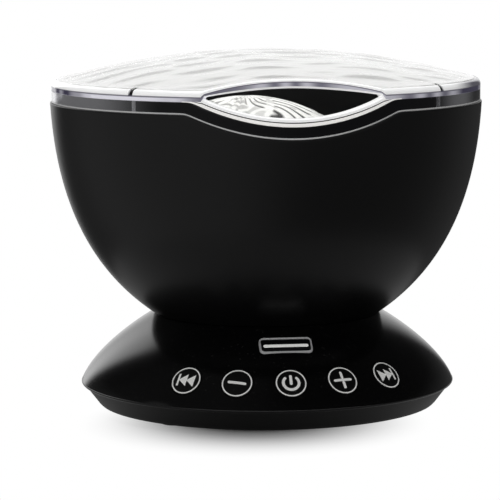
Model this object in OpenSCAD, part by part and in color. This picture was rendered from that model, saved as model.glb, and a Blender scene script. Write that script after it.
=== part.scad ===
// Ocean wave projector: a bowl on a domed foot, under a clear lid with an eye-shaped opening.
// Millimetres, +Z up, front towards -Y, origin on the table under the middle of the bowl.

/* [Bowl] */
// Outer diameter of the bowl at its rim
rim_d = 155; // [146:1:170]
// Height of the rim above the table
rim_z = 110; // [106:0.5:118]
// Outer diameter of the bowl's foot, where it meets the base
neck_d = 81; // [77:1:88]
// Height of the joint between bowl and base
neck_z = 33.5; // [33:0.5:37]
// Swell of the bowl's side, as a share of its height
bowl_fullness = 0.41; // [0.34:0.01:0.46]
// Wall thickness of the moulded shells
wall = 2.2; // [1.8:0.1:2.6]
// Floor thickness of the bowl
bowl_floor_t = 2.4; // [2:0.1:3.5]

/* [Front dip] */
// Width of the dip in the rim, along its chord
dip_w = 72; // [66:1:80]
// Depth of the dip below the rim
dip_h = 8.2; // [6:0.1:9.5]

/* [Lid] */
// Height of the lid's edge above the rim
skirt_h = 7.6; // [7:0.1:10]
// Rise of the lid's crown above its edge
crown_h = 10.8; // [8:0.1:14]
// Thickness of the lid's crown
lid_t = 2; // [1.6:0.1:2.6]
// Thickness of the lid's skirt
skirt_t = 1.6; // [1.2:0.1:2]
// Height of the thick edge round the lid
bead_h = 3.3; // [2.8:0.1:3.8]
// Depth of the thick edge, towards the middle
bead_w = 3.4; // [2.8:0.1:4]
// Radius of the lid's outer corner
lid_corner = 2.2; // [1.6:0.1:2.4]
// How far the lid stands inside the bowl's rim
lid_setback = 0.5; // [0.4:0.1:1.3]
// Width of the eye-shaped opening, along its chord
eye_w = 62.5; // [56:0.5:66]
// How far the opening reaches in from the lid's edge
eye_depth = 13.4; // [11:0.2:18]
// Height of the opening's lower lip above the dip in the rim
lip_rise = 7.1; // [6.5:0.1:7.6]
// Height of the lip itself
lip_h = 2.8; // [2.2:0.1:3.4]
// Width of the four notches in the lid's edge, where the deck's hooks hold it
notch_w = 1.8; // [1.4:0.1:2.4]
// Angle of the notches from the front and from the back
notch_turn = 44; // [40:1:50]
// Width of the ribs behind the skirt, under the notches
rib_w = 1.2; // [0.8:0.1:1.6]
// Width of the groove between the crown and the thick edge
groove_w = 0.6; // [0.4:0.1:1]

/* [Base] */
// Diameter of the base at its lip
lip_d = 135.4; // [130:0.2:142]
// Height of the lip above the table
lip_z = 8; // [7.5:0.1:9]
// Swell of the base's side, as a share of its height
base_fullness = 0.4; // [0.34:0.01:0.46]
// How far the base's shoulder stands out from the bowl's foot
shoulder = 0.8; // [0.2:0.1:1.5]
// Diameter of the base plate's underside
bottom_d = 123.4; // [116:0.2:126]
// Thickness of the base plate
plate_t = 2.2; // [2:0.1:2.8]
// How far the lip hangs over the base plate
lip_overhang = 1.3; // [0.8:0.1:1.8]
// Diameter of the rubber feet
foot_d = 12; // [8:0.5:14]
// Height of the feet below the base plate
foot_h = 1; // [0.8:0.1:1.5]
// How deep the feet sit in the base plate
foot_sink = 0.8; // [0.5:0.1:1.2]

/* [Buttons] */
// Diameter of the five button caps
button_d = 11; // [9:0.5:12]
// Height of the button centres above the table
button_z = 17.4; // [16.5:0.1:18.5]
// Angle between neighbouring buttons
button_pitch = 17.2; // [15.6:0.2:18.8]
// How far a button goes in
button_travel = 0.6; // [0.3:0.1:0.8]
// How far a button stands proud of the base
button_proud = 0.3; // [0.1:0.1:0.8]
// Side of the square switches under the buttons
switch_w = 6; // [5:0.5:7]
// Height of the switch bodies
switch_h = 3.5; // [3:0.1:4]

/* [Receiver window] */
// Width of the window's frame
window_w = 18.7; // [16:0.1:22]
// Height of the window's frame, up the slope
window_h = 7.8; // [7:0.1:8.6]
// Height of the window's centre above the table
window_z = 28.5; // [27.5:0.1:29]
// Width of the frame round the lens
bezel_w = 1; // [0.7:0.1:1.4]
// Corner radius of the frame
window_corner = 1.8; // [1.5:0.1:2.5]

/* [Light engine] */
// Height of the deck that carries the light engine
deck_z = 94; // [90:0.5:96]
// Thickness of the deck
deck_t = 2; // [1.8:0.1:3]
// Tooth size of the drive
gear_module = 1; // [0.9:0.05:1]
// Teeth on the ring that carries the rippled dome
ring_teeth = 80; // [76:4:84]
// Teeth on the motor's pinion
pinion_teeth = 16; // [14:2:18]
// Tooth thinning that leaves backlash
backlash = 0.16; // [0.1:0.02:0.3]
// Height of the gears
gear_h = 4; // [3.5:0.1:5]
// Height of the rippled dome above its seat
dome_h = 14.2; // [12:0.1:15]
// Wall of the rippled dome
dome_t = 1.8; // [1.4:0.1:2.4]
// Depth of the ripples
ripple_h = 0.45; // [0.2:0.05:0.7]
// Diameter of the lamp beads
led_d = 5; // [4:0.5:6]
// Lamp beads in the outer ring
led_outer_count = 9; // [6:1:12]
// Lamp beads in the inner ring
led_inner_count = 3; // [2:1:4]
// Diameter of the gear motor
motor_d = 24; // [20:1:26]
// Height of the gear motor
motor_h = 21; // [18:1:26]
// Diameter of the motor's shaft
shaft_d = 3; // [2:0.5:4]

/* [Speaker] */
// Diameter of the speaker's flange
speaker_d = 50; // [46:1:52]
// Height of the speaker, from its seat to the back of its magnet
speaker_h = 17; // [15:1:18]
// Diameter of the magnet
magnet_d = 26; // [20:1:30]

/* [Rear ports] */
// Width of the recess that holds the ports
port_w = 48; // [46:1:54]
// Height of the recess
port_h = 8.5; // [8:0.1:9.5]
// Distance of the recess's wall behind the axis
port_y = 60; // [59:0.2:61]
// Bore of the audio jack
jack_bore_d = 3.64; // [3.56:0.02:3.8]
// Depth of the audio jack's bore
jack_depth = 12; // [10:0.5:14]

/* [Fasteners] */
// Diameter of the screws' shanks
screw_d = 2.6; // [2.2:0.1:3]
// Diameter of the screws' heads
screw_head_d = 5.4; // [4.6:0.1:5.8]
// Height of the screws' heads
screw_head_h = 1.9; // [1.5:0.1:2.2]

/* [Clearances] */
// Radial clearance of a part that turns in its seat
run_fit = 0.06; // [0.03:0.01:0.1]
// Clearance of a part that slides or drops into place
fit_gap = 0.3; // [0.2:0.05:0.4]
// Gap along the seam between lid and bowl
seam_gap = 0.1; // [0.05:0.05:0.3]

/* [Hidden] */
$fn = 96;

rim_r = rim_d / 2;
neck_r = neck_d / 2;
lip_r = lip_d / 2;
bottom_r = bottom_d / 2;
curve_steps = 40;
crown_steps = 24;
over = 1;

function dir(a) = [cos(a), sin(a)];
function bezier(p, t) =
    pow(1 - t, 3) * p[0] + 3 * pow(1 - t, 2) * t * p[1] + 3 * (1 - t) * t * t * p[2] + t * t * t * p[3];
function tangent(p, t) =
    3 * pow(1 - t, 2) * (p[1] - p[0]) + 6 * (1 - t) * t * (p[2] - p[1]) + 3 * t * t * (p[3] - p[2]);
function outward(p, t) = let (v = tangent(p, t)) [v[1], -v[0]] / norm(v);
function inset_curve(p, inset) =
    [for (i = [0:curve_steps]) bezier(p, i / curve_steps) - inset * outward(p, i / curve_steps)];
function radius_at(p, z, inset) = lookup(z, [for (q = inset_curve(p, inset)) [q[1], q[0]]]);
function t_at(p, z, lo = 0, hi = 1, n = 24) =
    let (mid = (lo + hi) / 2)
    n == 0 ? mid : bezier(p, mid)[1] < z ? t_at(p, z, mid, hi, n - 1) : t_at(p, z, lo, mid, n - 1);

// Side curves: each leaves its lower edge and meets its upper edge at the angles seen in outline
bowl_pull = bowl_fullness * (rim_z - neck_z);
bowl_low = [neck_r, neck_z];
bowl_high = [rim_r, rim_z];
bowl_curve = [bowl_low, bowl_low + bowl_pull * dir(34), bowl_high - bowl_pull * dir(87), bowl_high];
base_pull = base_fullness * (neck_z - lip_z);
base_low = [lip_r, lip_z];
base_high = [neck_r + shoulder, neck_z];
base_curve = [base_low, base_low + base_pull * dir(108), base_high - base_pull * dir(150), base_high];

// Dip and eye: two level cylinders set the lower lines, an upright one sets the upper line
dip_r = (pow(dip_w / 2, 2) + pow(dip_h, 2)) / (2 * dip_h);
dip_axis_z = rim_z - dip_h + dip_r;
lip_top_r = dip_r - lip_rise;
lid_r = rim_r - lid_setback;
lid_edge_z = rim_z + skirt_h;
eye_front = sqrt(pow(lid_r, 2) - pow(eye_w / 2, 2));
eye_sag = eye_front - (lid_r - eye_depth);
eye_r = (pow(eye_w / 2, 2) + pow(eye_sag, 2)) / (2 * eye_sag);
crown_r = (pow(lid_r, 2) + pow(crown_h, 2)) / (2 * crown_h);
corner_turn = 75;
corner_in_r = lid_r - lid_corner + lid_corner * cos(corner_turn);
corner_z = crown_z(corner_in_r) - lid_corner * sin(corner_turn);
groove_h = 0.35;

// Base plate
plate_top = foot_h + plate_t;
tongue_h = 2;
tongue_t = 1.6;
tongue_r = radius_at(base_curve, lip_z + tongue_h, wall) - fit_gap;
plate_edge_r = lip_r - lip_overhang;
plate_bevel = 0.8;
foot_ring_r = 52;
post_ring_r = 52;
post_angles = [30, 150, 210, 330];
post_d = 8.4;
boss_h = 4;
boss_d = 10;
slot_w = 2;
slot_step = 5;
slot_first_r = 6;
slot_count = 3;
slot_rib = 2.4;

// Neck joint
top_t = 2.6;
spigot_h = 3;
spigot_t = 2;
spigot_r = neck_r - 11;
neck_screw_r = neck_r - 6;
neck_boss_d = 7.6;
neck_boss_h = 9;
wire_hole_r = 12;
quarter = [45, 135, 225, 315];
thirds = [90, 210, 330];

// Screws
screw_hole_r = screw_d / 2 + fit_gap;
pilot_r = screw_d / 2 + 0.05;
screw_bite = 8;
cross_w = 0.9;

// Buttons, measured inward from the surface of the base
cap_back = wall + 1;
flange_t = 1;
flange_r = button_d / 2 + 1.3;
key_places = [0:4];
key_room = cap_back + flange_t + button_travel + fit_gap;
stem_l = 1.2;
stem_d = 2.8;
plunger_d = 3.2;
plunger_out = 1;
plunger_in = 1;
plunger_z = -(cap_back + flange_t + stem_l);
switch_z = plunger_z - plunger_out;
switch_back = switch_z - switch_h;
key_board_t = 1.2;
key_board_w = 10;
key_back = switch_back - key_board_t;
key_base_z = plate_top + 3;
key_strip_t = 2;
key_strip_r = [45, 51];
key_block_r = [46, 56];
key_screw_r = 47.5;
key_screw_turn = 1.5 * button_pitch;
key_block_w = 2 * (key_screw_r * sin(button_pitch / 2) - screw_head_d / 2 - 2 * fit_gap);

// Receiver window, measured from the surface of the base
bezel_proud = 0.3;
bezel_depth = wall + 1;
bezel_flange_t = 1;
bezel_flange = 1;
lens_gap = 0.1;
lens_back = -(bezel_depth + bezel_flange_t);
lens_bulge = 0.5;
eye_bulb_r = 2.2;
eye_body = [6, 5.4, 3];

// Speaker
speaker_r = speaker_d / 2;
magnet_r = magnet_d / 2;
magnet_h = 8;
seat_h = 1.2;
gasket_t = 0.8;
speaker_z = plate_top + seat_h + gasket_t;
speaker_flange_t = 1;
speaker_flange_w = 5.5;
ear_d = 6.8;
ear_r = speaker_r + 2.2;
basket_t = 1;

// Main board and ports
port_wall = 2;
port_floor_z = lip_z + 1.5;
board_z = port_floor_z - 0.5;
board_t = 1.6;
board_top = board_z + board_t;
board_back_y = port_y - port_wall - 1;
board_size = [56, 26];
board_post_d = 6;
board_hole_inset = [4, 3];
board_hole_x = board_size[0] / 2 - board_hole_inset[0];
board_holes_y = [board_back_y - board_hole_inset[1], board_back_y - board_size[1] + board_hole_inset[1]];
tongue_gap_w = max(port_w + 2 * port_wall, board_size[0]) + 2 * fit_gap;
usb_size = [7.6, 6.5, 2.8];
usb_to_screw = 3.5;
usb_x = (screw_head_d + usb_size[0]) / 2 + usb_to_screw - board_hole_x;
usb_mouth = [6.9, 4.8, 1.9];
usb_tongue = [3.8, 3.6, 0.6];
card_size = [14, 15, 2];
card_to_screw = 0.8;
card_x = board_hole_x - (screw_head_d + card_size[0]) / 2 - card_to_screw;
card_slot = [11.4, 13, 1];
jack_z = board_top + 2.9;
jack_body = [6.5, 12, 5.6];
jack_nose_r = 2.9;
jack_nose_l = 2.4;
jack_mouth_y = port_y - 0.2;

// Deck and light engine
deck_under = deck_z - deck_t;
deck_r = radius_at(bowl_curve, deck_under, wall) - fit_gap;
collar_t = 1.6;
notch_in_r = deck_r - collar_t - fit_gap;
notch_hook_h = 0.8;
notch_hook_w = notch_w - 2 * fit_gap;
notch_turns = [for (a = [-90, 90], s = [-1, 1]) a + s * notch_turn];
notch_hook_l = lid_r - deck_r + collar_t - lid_corner / 4;
deck_post_r = deck_r - 12;
deck_post_d = 8.4;
thrust_gap = 0.1;
ring_z = deck_z + thrust_gap;
ring_top = ring_z + gear_h;
ring_pitch_r = gear_module * ring_teeth / 2;
pinion_pitch_r = gear_module * pinion_teeth / 2;
ring_root_r = ring_pitch_r - 1.25 * gear_module;
ring_tip_r = ring_pitch_r + gear_module;
centre_distance = ring_pitch_r + pinion_pitch_r;
pressure_angle = 20;
flank_steps = 6;
journal_r = ring_root_r - 3.75;
dome_r = ring_root_r - 1;
dome_inner_r = journal_r + 0.6;
dome_rows = 11;
dome_columns = 60;
hook_w = 8;
hook_t = 2;
hook_in_r = ring_tip_r + 0.8;
hook_nose_r = ring_root_r + 0.4;
hook_nose_h = 1.6;
cup_floor_t = 1.5;
cup_rim_t = 2;
cup_hole_r = 6;
led_board_t = 1.6;
led_board_z = deck_z + cup_floor_t;
led_board_top = led_board_z + led_board_t;
led_outer_r = 0.66 * journal_r;
led_inner_r = 0.26 * journal_r;
led_flange_t = 1;
led_stem_h = 2.4;
cup_screw_r = 0.46 * journal_r;
cup_boss_d = 7;
cup_boss_h = 6;
deck_hole_r = 8.5;
motor_boss_r = 3.5;
motor_boss_h = 1.2;
motor_gearbox_h = 9;
motor_can_step = 2;
motor_screw_x = motor_d / 3;
motor_screw_d = 2;
motor_head_d = 3.6;
motor_head_h = 1.1;
shaft_in = 6;
pinion_z = ring_z + 0.3;
pinion_h = gear_h;
press_gap = 0.02;

// Wires
loom_d = 4;
loom_bend = 8;
loom_level_z = neck_z - spigot_h - loom_d / 2 - fit_gap;
plug_size = [8, 6, 5];
plug_y = board_back_y - board_size[1] + 5;

module on_base(z, turn) {
    t = t_at(base_curve, z);
    n = outward(base_curve, t);
    rotate([0, 0, turn])
        translate([0, -bezier(base_curve, t)[0], z])
            rotate([atan2(n[0], n[1]), 0, 0])
                children();
}

module on_button(place) {
    on_base(button_z, (place - 2) * button_pitch) children();
}

module around(angles, r) {
    for (a = angles)
        rotate([0, 0, a]) translate([r, 0, 0]) children();
}

module ring(r_in, r_out, h) {
    difference() {
        cylinder(r = r_out, h = h);
        translate([0, 0, -over]) cylinder(r = r_in, h = h + 2 * over);
    }
}

module rounded_plate(w, h, r, t) {
    linear_extrude(t)
        union() {
            square([w - 2 * r, h], center = true);
            square([w, h - 2 * r], center = true);
            for (x = [-1, 1], y = [-1, 1])
                translate([x * (w / 2 - r), y * (h / 2 - r)]) circle(r);
        }
}

// A pan-head screw: underside of the head at z = 0, shank towards -Z
module screw(length, d = screw_d, head_d = screw_head_d, head_h = screw_head_h) {
    difference() {
        union() {
            cylinder(d = head_d, h = head_h);
            translate([0, 0, -length]) cylinder(d = d, h = length + head_h / 2);
        }
        for (a = [0, 90])
            rotate([0, 0, a])
                translate([-head_d / 3, -cross_w / 2, head_h / 2]) cube([head_d / 1.5, cross_w, head_h]);
    }
}

// One involute gear: flanks rise from the root or base circle to the tip
function roll_at(base_r, r) = sqrt(max(0, pow(r / base_r, 2) - 1)) * 180 / PI;
function flank_angle(base_r, r) = roll_at(base_r, r) - acos(min(1, base_r / r));
function flank(base_r, r, half) =
    let (a = half - flank_angle(base_r, r)) [r, a];
function polar(r, a) = r * [cos(a), sin(a)];
function tooth(teeth, thin) =
    let (
        pitch_r = gear_module * teeth / 2,
        base_r = pitch_r * cos(pressure_angle),
        root_r = pitch_r - 1.25 * gear_module,
        tip_r = pitch_r + gear_module,
        low_r = max(base_r, root_r),
        half = 90 / teeth - thin / 2 / pitch_r * 180 / PI + flank_angle(base_r, pitch_r),
        side = [for (i = [0:flank_steps]) flank(base_r, low_r + (tip_r - low_r) * i / flank_steps, half)]
    )
    concat(
        [polar(root_r, -half)],
        [for (q = side) polar(q[0], -q[1])],
        [for (i = [flank_steps:-1:0]) polar(side[i][0], side[i][1])],
        [polar(root_r, half)]
    );
function turned(p, a) = [p[0] * cos(a) - p[1] * sin(a), p[0] * sin(a) + p[1] * cos(a)];

module gear(teeth, h, thin) {
    outline = tooth(teeth, thin);
    linear_extrude(h)
        polygon([for (k = [0:teeth - 1], q = outline) turned(q, 360 * k / teeth)]);
}

// A level cylinder through the front half of the rim
module dip_tool(r) {
    translate([0, 0, dip_axis_z]) rotate([90, 0, 0]) cylinder(r = r, h = rim_d);
}

module base_solid() {
    rotate_extrude()
        polygon(concat([[0, lip_z]], inset_curve(base_curve, 0), [[0, neck_z]]));
}

module base_hollow() {
    rotate_extrude()
        intersection() {
            polygon(concat([[0, lip_z - wall]], inset_curve(base_curve, wall), [[0, neck_z + wall]]));
            square([lip_r, neck_z - top_t]);
        }
}

module bowl_solid() {
    rotate_extrude()
        polygon(concat([[0, neck_z]], inset_curve(bowl_curve, 0), [[0, rim_z]]));
}

module bowl_hollow() {
    rotate_extrude()
        intersection() {
            polygon(concat([[0, neck_z]], inset_curve(bowl_curve, wall),
                [[rim_r - wall, rim_z + over], [0, rim_z + over]]));
            translate([0, neck_z + bowl_floor_t]) square([rim_r, rim_z]);
        }
}

module base_plate() {
    color("dimgray")
    difference() {
        union() {
            rotate_extrude()
                polygon([
                    [0, foot_h], [bottom_r - plate_bevel, foot_h], [bottom_r, foot_h + plate_bevel],
                    [plate_edge_r, lip_z], [tongue_r, lip_z], [tongue_r, lip_z + tongue_h],
                    [tongue_r - tongue_t, lip_z + tongue_h], [tongue_r - tongue_t, lip_z],
                    [bottom_r - wall, plate_top], [0, plate_top]
                ]);
            around(post_angles, post_ring_r)
                translate([0, 0, foot_h]) cylinder(d = boss_d, h = plate_t + boss_h);
            translate([0, 0, plate_top - over / 2])
                ring(speaker_r - speaker_flange_w, speaker_r, seat_h + over / 2);
            around(quarter, ear_r)
                translate([0, 0, plate_top - over / 2])
                    cylinder(d = ear_d, h = speaker_z - plate_top + over / 2);
            for (x = [-1, 1], y = board_holes_y)
                translate([x * board_hole_x, y, plate_top - over / 2])
                    cylinder(d = board_post_d, h = board_z - plate_top + over / 2);
            for (turn = [-1, 1])
                rotate([0, 0, turn * key_screw_turn])
                    translate([0, -key_screw_r, plate_top - over / 2])
                        cylinder(d = post_d, h = key_base_z - plate_top + over / 2);
        }
        translate([0, 0, plate_top + seat_h])
            cylinder(r = speaker_r - gasket_t / 2 + fit_gap, h = gasket_t + over);
        around(post_angles, post_ring_r) {
            translate([0, 0, foot_h - over])
                cylinder(d = screw_head_d + 2 * fit_gap, h = over + screw_head_h + fit_gap);
            cylinder(r = screw_hole_r, h = plate_top + boss_h + over);
        }
        around(quarter, foot_ring_r)
            translate([0, 0, foot_h - over]) cylinder(r = foot_d / 2 + fit_gap / 2, h = over + foot_sink);
        around(quarter, ear_r)
            translate([0, 0, foot_h + plate_t / 2]) cylinder(r = pilot_r, h = speaker_z);
        for (x = [-1, 1], y = board_holes_y)
            translate([x * board_hole_x, y, foot_h + plate_t / 2]) cylinder(r = pilot_r, h = board_z);
        for (turn = [-1, 1])
            rotate([0, 0, turn * key_screw_turn])
                translate([0, -key_screw_r, foot_h + plate_t / 2]) cylinder(r = pilot_r, h = key_base_z);
        difference() {
            union()
                for (i = [0:slot_count - 1])
                    translate([0, 0, foot_h - over])
                        ring(slot_first_r + slot_step * i - slot_w / 2,
                            slot_first_r + slot_step * i + slot_w / 2, plate_t + 2 * over);
            for (a = [0, 90])
                rotate([0, 0, a])
                    translate([-speaker_r, -slot_rib / 2, 0]) cube([speaker_d, slot_rib, plate_top + over]);
        }
        translate([-tongue_gap_w / 2, board_back_y - 2 * fit_gap, lip_z])
            cube([tongue_gap_w, lip_d, tongue_h + over]);
        for (i = key_places)
            on_button(i) translate([0, 0, -key_room]) cylinder(r = flange_r + fit_gap, h = key_room);
    }
}

module rubber_feet() {
    color("black")
    around(quarter, foot_ring_r)
        rotate_extrude()
            polygon([[0, 0], [foot_d / 2 - 0.4, 0], [foot_d / 2, 0.4], [foot_d / 2, foot_h + foot_sink],
                [0, foot_h + foot_sink]]);
}

module base_screws() {
    color("silver")
    around(post_angles, post_ring_r)
        translate([0, 0, foot_h + screw_head_h + fit_gap]) mirror([0, 0, 1])
            screw(plate_t + boss_h - screw_head_h - fit_gap + screw_bite);
}

module port_cuts() {
    translate([usb_x - usb_size[0] / 2 - fit_gap, board_back_y, board_top - fit_gap])
        cube([usb_size[0] + 2 * fit_gap, port_wall + 2 * over, usb_size[2] + 2 * fit_gap]);
    translate([0, board_back_y, jack_z]) rotate([-90, 0, 0])
        cylinder(r = jack_nose_r + fit_gap, h = port_wall + 2 * over);
    translate([card_x - card_slot[0] / 2 - fit_gap, board_back_y,
            board_top + card_size[2] / 2 - card_slot[2] / 2 - fit_gap])
        cube([card_slot[0] + 2 * fit_gap, port_wall + 2 * over, card_slot[2] + 2 * fit_gap]);
}

module base_cover() {
    color("black")
    difference() {
        union() {
            difference() {
                base_solid();
                base_hollow();
            }
            intersection() {
                base_solid();
                around(post_angles, post_ring_r)
                    translate([0, 0, plate_top + boss_h]) cylinder(d = post_d, h = neck_z);
            }
            intersection() {
                base_solid();
                translate([-port_w / 2 - port_wall, port_y - port_wall, lip_z])
                    cube([port_w + 2 * port_wall, lip_r, port_floor_z - lip_z + port_h + port_wall]);
            }
        }
        translate([-port_w / 2, port_y, port_floor_z]) cube([port_w, lip_r, port_h]);
        port_cuts();
        translate([0, 0, neck_z - top_t - over]) cylinder(r = spigot_r + fit_gap, h = top_t + 2 * over);
        around(quarter, neck_screw_r)
            translate([0, 0, neck_z - top_t - over]) cylinder(r = screw_hole_r, h = top_t + 2 * over);
        around(post_angles, post_ring_r)
            translate([0, 0, plate_top + boss_h - over])
                cylinder(r = pilot_r, h = screw_bite + over + fit_gap);
        for (i = key_places)
            on_button(i)
                translate([0, 0, -cap_back - wall])
                    cylinder(r = button_d / 2 + fit_gap, h = 2 * cap_back + wall);
        on_base(window_z, 0)
            translate([0, 0, -bezel_depth - wall])
                rounded_plate(window_w + fit_gap, window_h + fit_gap, window_corner,
                    2 * bezel_depth + wall);
    }
}

module ir_bezel() {
    inner = 2 * (bezel_w - lens_gap);
    color("gray")
    on_base(window_z, 0)
        difference() {
            union() {
                translate([0, 0, -bezel_depth])
                    rounded_plate(window_w, window_h, window_corner, bezel_depth + bezel_proud);
                translate([0, 0, lens_back])
                    rounded_plate(window_w + 2 * bezel_flange, window_h + 2 * bezel_flange,
                        window_corner, bezel_flange_t);
            }
            translate([0, 0, lens_back - over])
                rounded_plate(window_w - inner, window_h - inner, window_corner - bezel_w / 2,
                    bezel_depth + 4 * over);
        }
}

module ir_window() {
    lens_h = window_h - 2 * bezel_w;
    lens_r = (pow(lens_h / 2, 2) + pow(lens_bulge, 2)) / (2 * lens_bulge);
    color("black")
    on_base(window_z, 0)
        intersection() {
            translate([0, 0, lens_back])
                rounded_plate(window_w - 2 * bezel_w, lens_h, window_corner - bezel_w / 2,
                    -lens_back + bezel_proud);
            translate([-window_w / 2, 0, bezel_proud - lens_r])
                rotate([0, 90, 0]) cylinder(r = lens_r, h = window_w);
        }
}

module ir_receiver() {
    color("dimgray")
    on_base(window_z, 0)
        translate([0, 0, lens_back - eye_bulb_r]) {
            intersection() {
                sphere(eye_bulb_r);
                translate([-eye_bulb_r, -eye_bulb_r, -over / 2])
                    cube([2 * eye_bulb_r, 2 * eye_bulb_r, eye_bulb_r + over / 2]);
            }
            translate([-eye_body[0] / 2, -eye_body[1] / 2, -eye_body[2]]) cube(eye_body);
        }
}

module button(place) {
    crown_ball = 40;
    color("black")
    on_button(place) {
        intersection() {
            translate([0, 0, -cap_back]) cylinder(d = button_d, h = cap_back + button_proud);
            translate([0, 0, button_proud - crown_ball]) sphere(crown_ball);
        }
        translate([0, 0, -cap_back - flange_t]) cylinder(r = flange_r, h = flange_t);
        translate([0, 0, plunger_z]) cylinder(d = stem_d, h = stem_l + flange_t / 2);
    }
}

module plunger(place) {
    color("ivory")
    on_button(place)
        translate([0, 0, switch_z - plunger_in]) cylinder(d = plunger_d, h = plunger_in + plunger_out);
}

module button_previous() { button(0); }
module button_minus() { button(1); }
module button_power() { button(2); }
module button_plus() { button(3); }
module button_next() { button(4); }
module plunger_previous() { plunger(0); }
module plunger_minus() { plunger(1); }
module plunger_power() { plunger(2); }
module plunger_plus() { plunger(3); }
module plunger_next() { plunger(4); }

module tact_switches() {
    color("darkslategray")
    for (i = key_places)
        on_button(i)
            difference() {
                translate([-switch_w / 2, -switch_w / 2, switch_back]) cube([switch_w, switch_w, switch_h]);
                translate([0, 0, switch_z - plunger_in - button_travel - fit_gap])
                    cylinder(r = plunger_d / 2 + fit_gap, h = plunger_in + button_travel + fit_gap + over);
            }
}

module key_boards() {
    color("darkgreen")
    for (i = key_places)
        on_button(i)
            translate([-key_board_w / 2, -key_board_w / 2, key_back])
                cube([key_board_w, key_board_w, key_board_t]);
}

module key_bracket() {
    half_turn = 2 * button_pitch + 6;
    color("dimgray")
    difference() {
        union() {
            intersection() {
                translate([0, 0, key_base_z]) ring(key_strip_r[0], key_strip_r[1], key_strip_t);
                linear_extrude(neck_z)
                    polygon([[0, 0], lip_d * dir(-90 - half_turn), lip_d * dir(-90),
                        lip_d * dir(-90 + half_turn)]);
            }
            for (i = key_places)
                intersection() {
                    rotate([0, 0, (i - 2) * button_pitch])
                        translate([-key_block_w / 2, -key_block_r[1], key_base_z])
                            cube([key_block_w, key_block_r[1] - key_block_r[0], neck_z]);
                    on_button(i)
                        translate([-lip_r, -lip_r, key_back - lip_d]) cube([lip_d, lip_d, lip_d]);
                }
        }
        for (turn = [-1, 1])
            rotate([0, 0, turn * key_screw_turn])
                translate([0, -key_screw_r, key_base_z - over])
                    cylinder(r = screw_hole_r, h = key_strip_t + 2 * over);
    }
}

module bracket_screws() {
    color("silver")
    for (turn = [-1, 1])
        rotate([0, 0, turn * key_screw_turn])
            translate([0, -key_screw_r, key_base_z + key_strip_t])
                screw(key_strip_t + key_base_z - plate_top + plate_t / 4);
}

module main_board() {
    color("darkgreen")
    difference() {
        translate([-board_size[0] / 2, board_back_y - board_size[1], board_z])
            cube([board_size[0], board_size[1], board_t]);
        for (x = [-1, 1], y = board_holes_y)
            translate([x * board_hole_x, y, board_z - over])
                cylinder(r = screw_hole_r, h = board_t + 2 * over);
    }
}

module board_screws() {
    color("silver")
    for (x = [-1, 1], y = board_holes_y)
        translate([x * board_hole_x, y, board_top]) screw(board_t + board_z - plate_top);
}

module board_components() {
    side_x = board_size[0] / 2;
    front_y = board_back_y - board_size[1];
    color("black") {
        translate([-side_x, front_y, board_top]) {
            translate([9, 2, 0]) cube([10, 7, 1.6]);
            translate([5, 15, 0]) cylinder(d = 5, h = 6);
            translate([20, 12, 0]) cylinder(d = 4, h = 5);
        }
        translate([side_x, front_y, board_top]) {
            translate([-20, 2, 0]) cube([7, 5, 1.4]);
            translate([-11, 8, 0]) cube([3, 2, 0.9]);
            translate([-19, 8, 0]) cube([4, 2.4, 1.1]);
        }
    }
}

module usb_inlet() {
    mouth_y = port_y - 0.5;
    color("silver")
    translate([usb_x, mouth_y - usb_size[1], board_top])
        union() {
            difference() {
                translate([-usb_size[0] / 2, 0, 0]) cube(usb_size);
                translate([-usb_mouth[0] / 2, usb_size[1] - usb_mouth[1], (usb_size[2] - usb_mouth[2]) / 2])
                    cube([usb_mouth[0], usb_mouth[1] + over, usb_mouth[2]]);
            }
            translate([-usb_tongue[0] / 2, usb_size[1] - usb_mouth[1] - over / 2,
                    (usb_size[2] - usb_tongue[2]) / 2])
                cube([usb_tongue[0], usb_tongue[1] + over / 2, usb_tongue[2]]);
        }
}

module audio_jack() {
    color("black")
    difference() {
        union() {
            translate([-jack_body[0] / 2, jack_mouth_y - jack_nose_l - jack_body[1], board_top])
                cube(jack_body);
            translate([0, jack_mouth_y - jack_nose_l - over, jack_z]) rotate([-90, 0, 0])
                cylinder(r = jack_nose_r, h = jack_nose_l + over);
        }
        translate([0, jack_mouth_y - jack_depth, jack_z]) rotate([-90, 0, 0])
            cylinder(d = jack_bore_d, h = jack_depth + over);
    }
}

module card_socket() {
    color("silver")
    translate([card_x, port_y - port_wall - fit_gap - card_size[1], board_top])
        difference() {
            translate([-card_size[0] / 2, 0, 0]) cube(card_size);
            translate([-card_slot[0] / 2, card_size[1] - card_slot[1], (card_size[2] - card_slot[2]) / 2])
                cube([card_slot[0], card_slot[1] + over, card_slot[2]]);
        }
}

module speaker_basket() {
    back_z = speaker_z + speaker_h - magnet_h;
    foot_r = speaker_r - speaker_flange_w;
    color("gray")
    difference() {
        union() {
            rotate_extrude()
                polygon([
                    [foot_r, speaker_z], [speaker_r, speaker_z], [speaker_r, speaker_z + speaker_flange_t],
                    [foot_r + basket_t, speaker_z + speaker_flange_t],
                    [foot_r + basket_t, back_z - 2 * basket_t],
                    [foot_r - basket_t, back_z], [0, back_z], [0, back_z - basket_t],
                    [foot_r - basket_t, back_z - basket_t], [foot_r, back_z - 2 * basket_t]
                ]);
            around(quarter, ear_r) translate([0, 0, speaker_z]) cylinder(d = ear_d, h = speaker_flange_t);
        }
        around(quarter, ear_r)
            translate([0, 0, speaker_z - over]) cylinder(r = screw_hole_r, h = speaker_flange_t + 2 * over);
        around(quarter, 0)
            translate([0, -magnet_r / 2, speaker_z + 2 * speaker_flange_t])
                cube([speaker_r, magnet_r, speaker_h - magnet_h - 2 * speaker_flange_t - 3 * basket_t]);
    }
}

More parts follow.
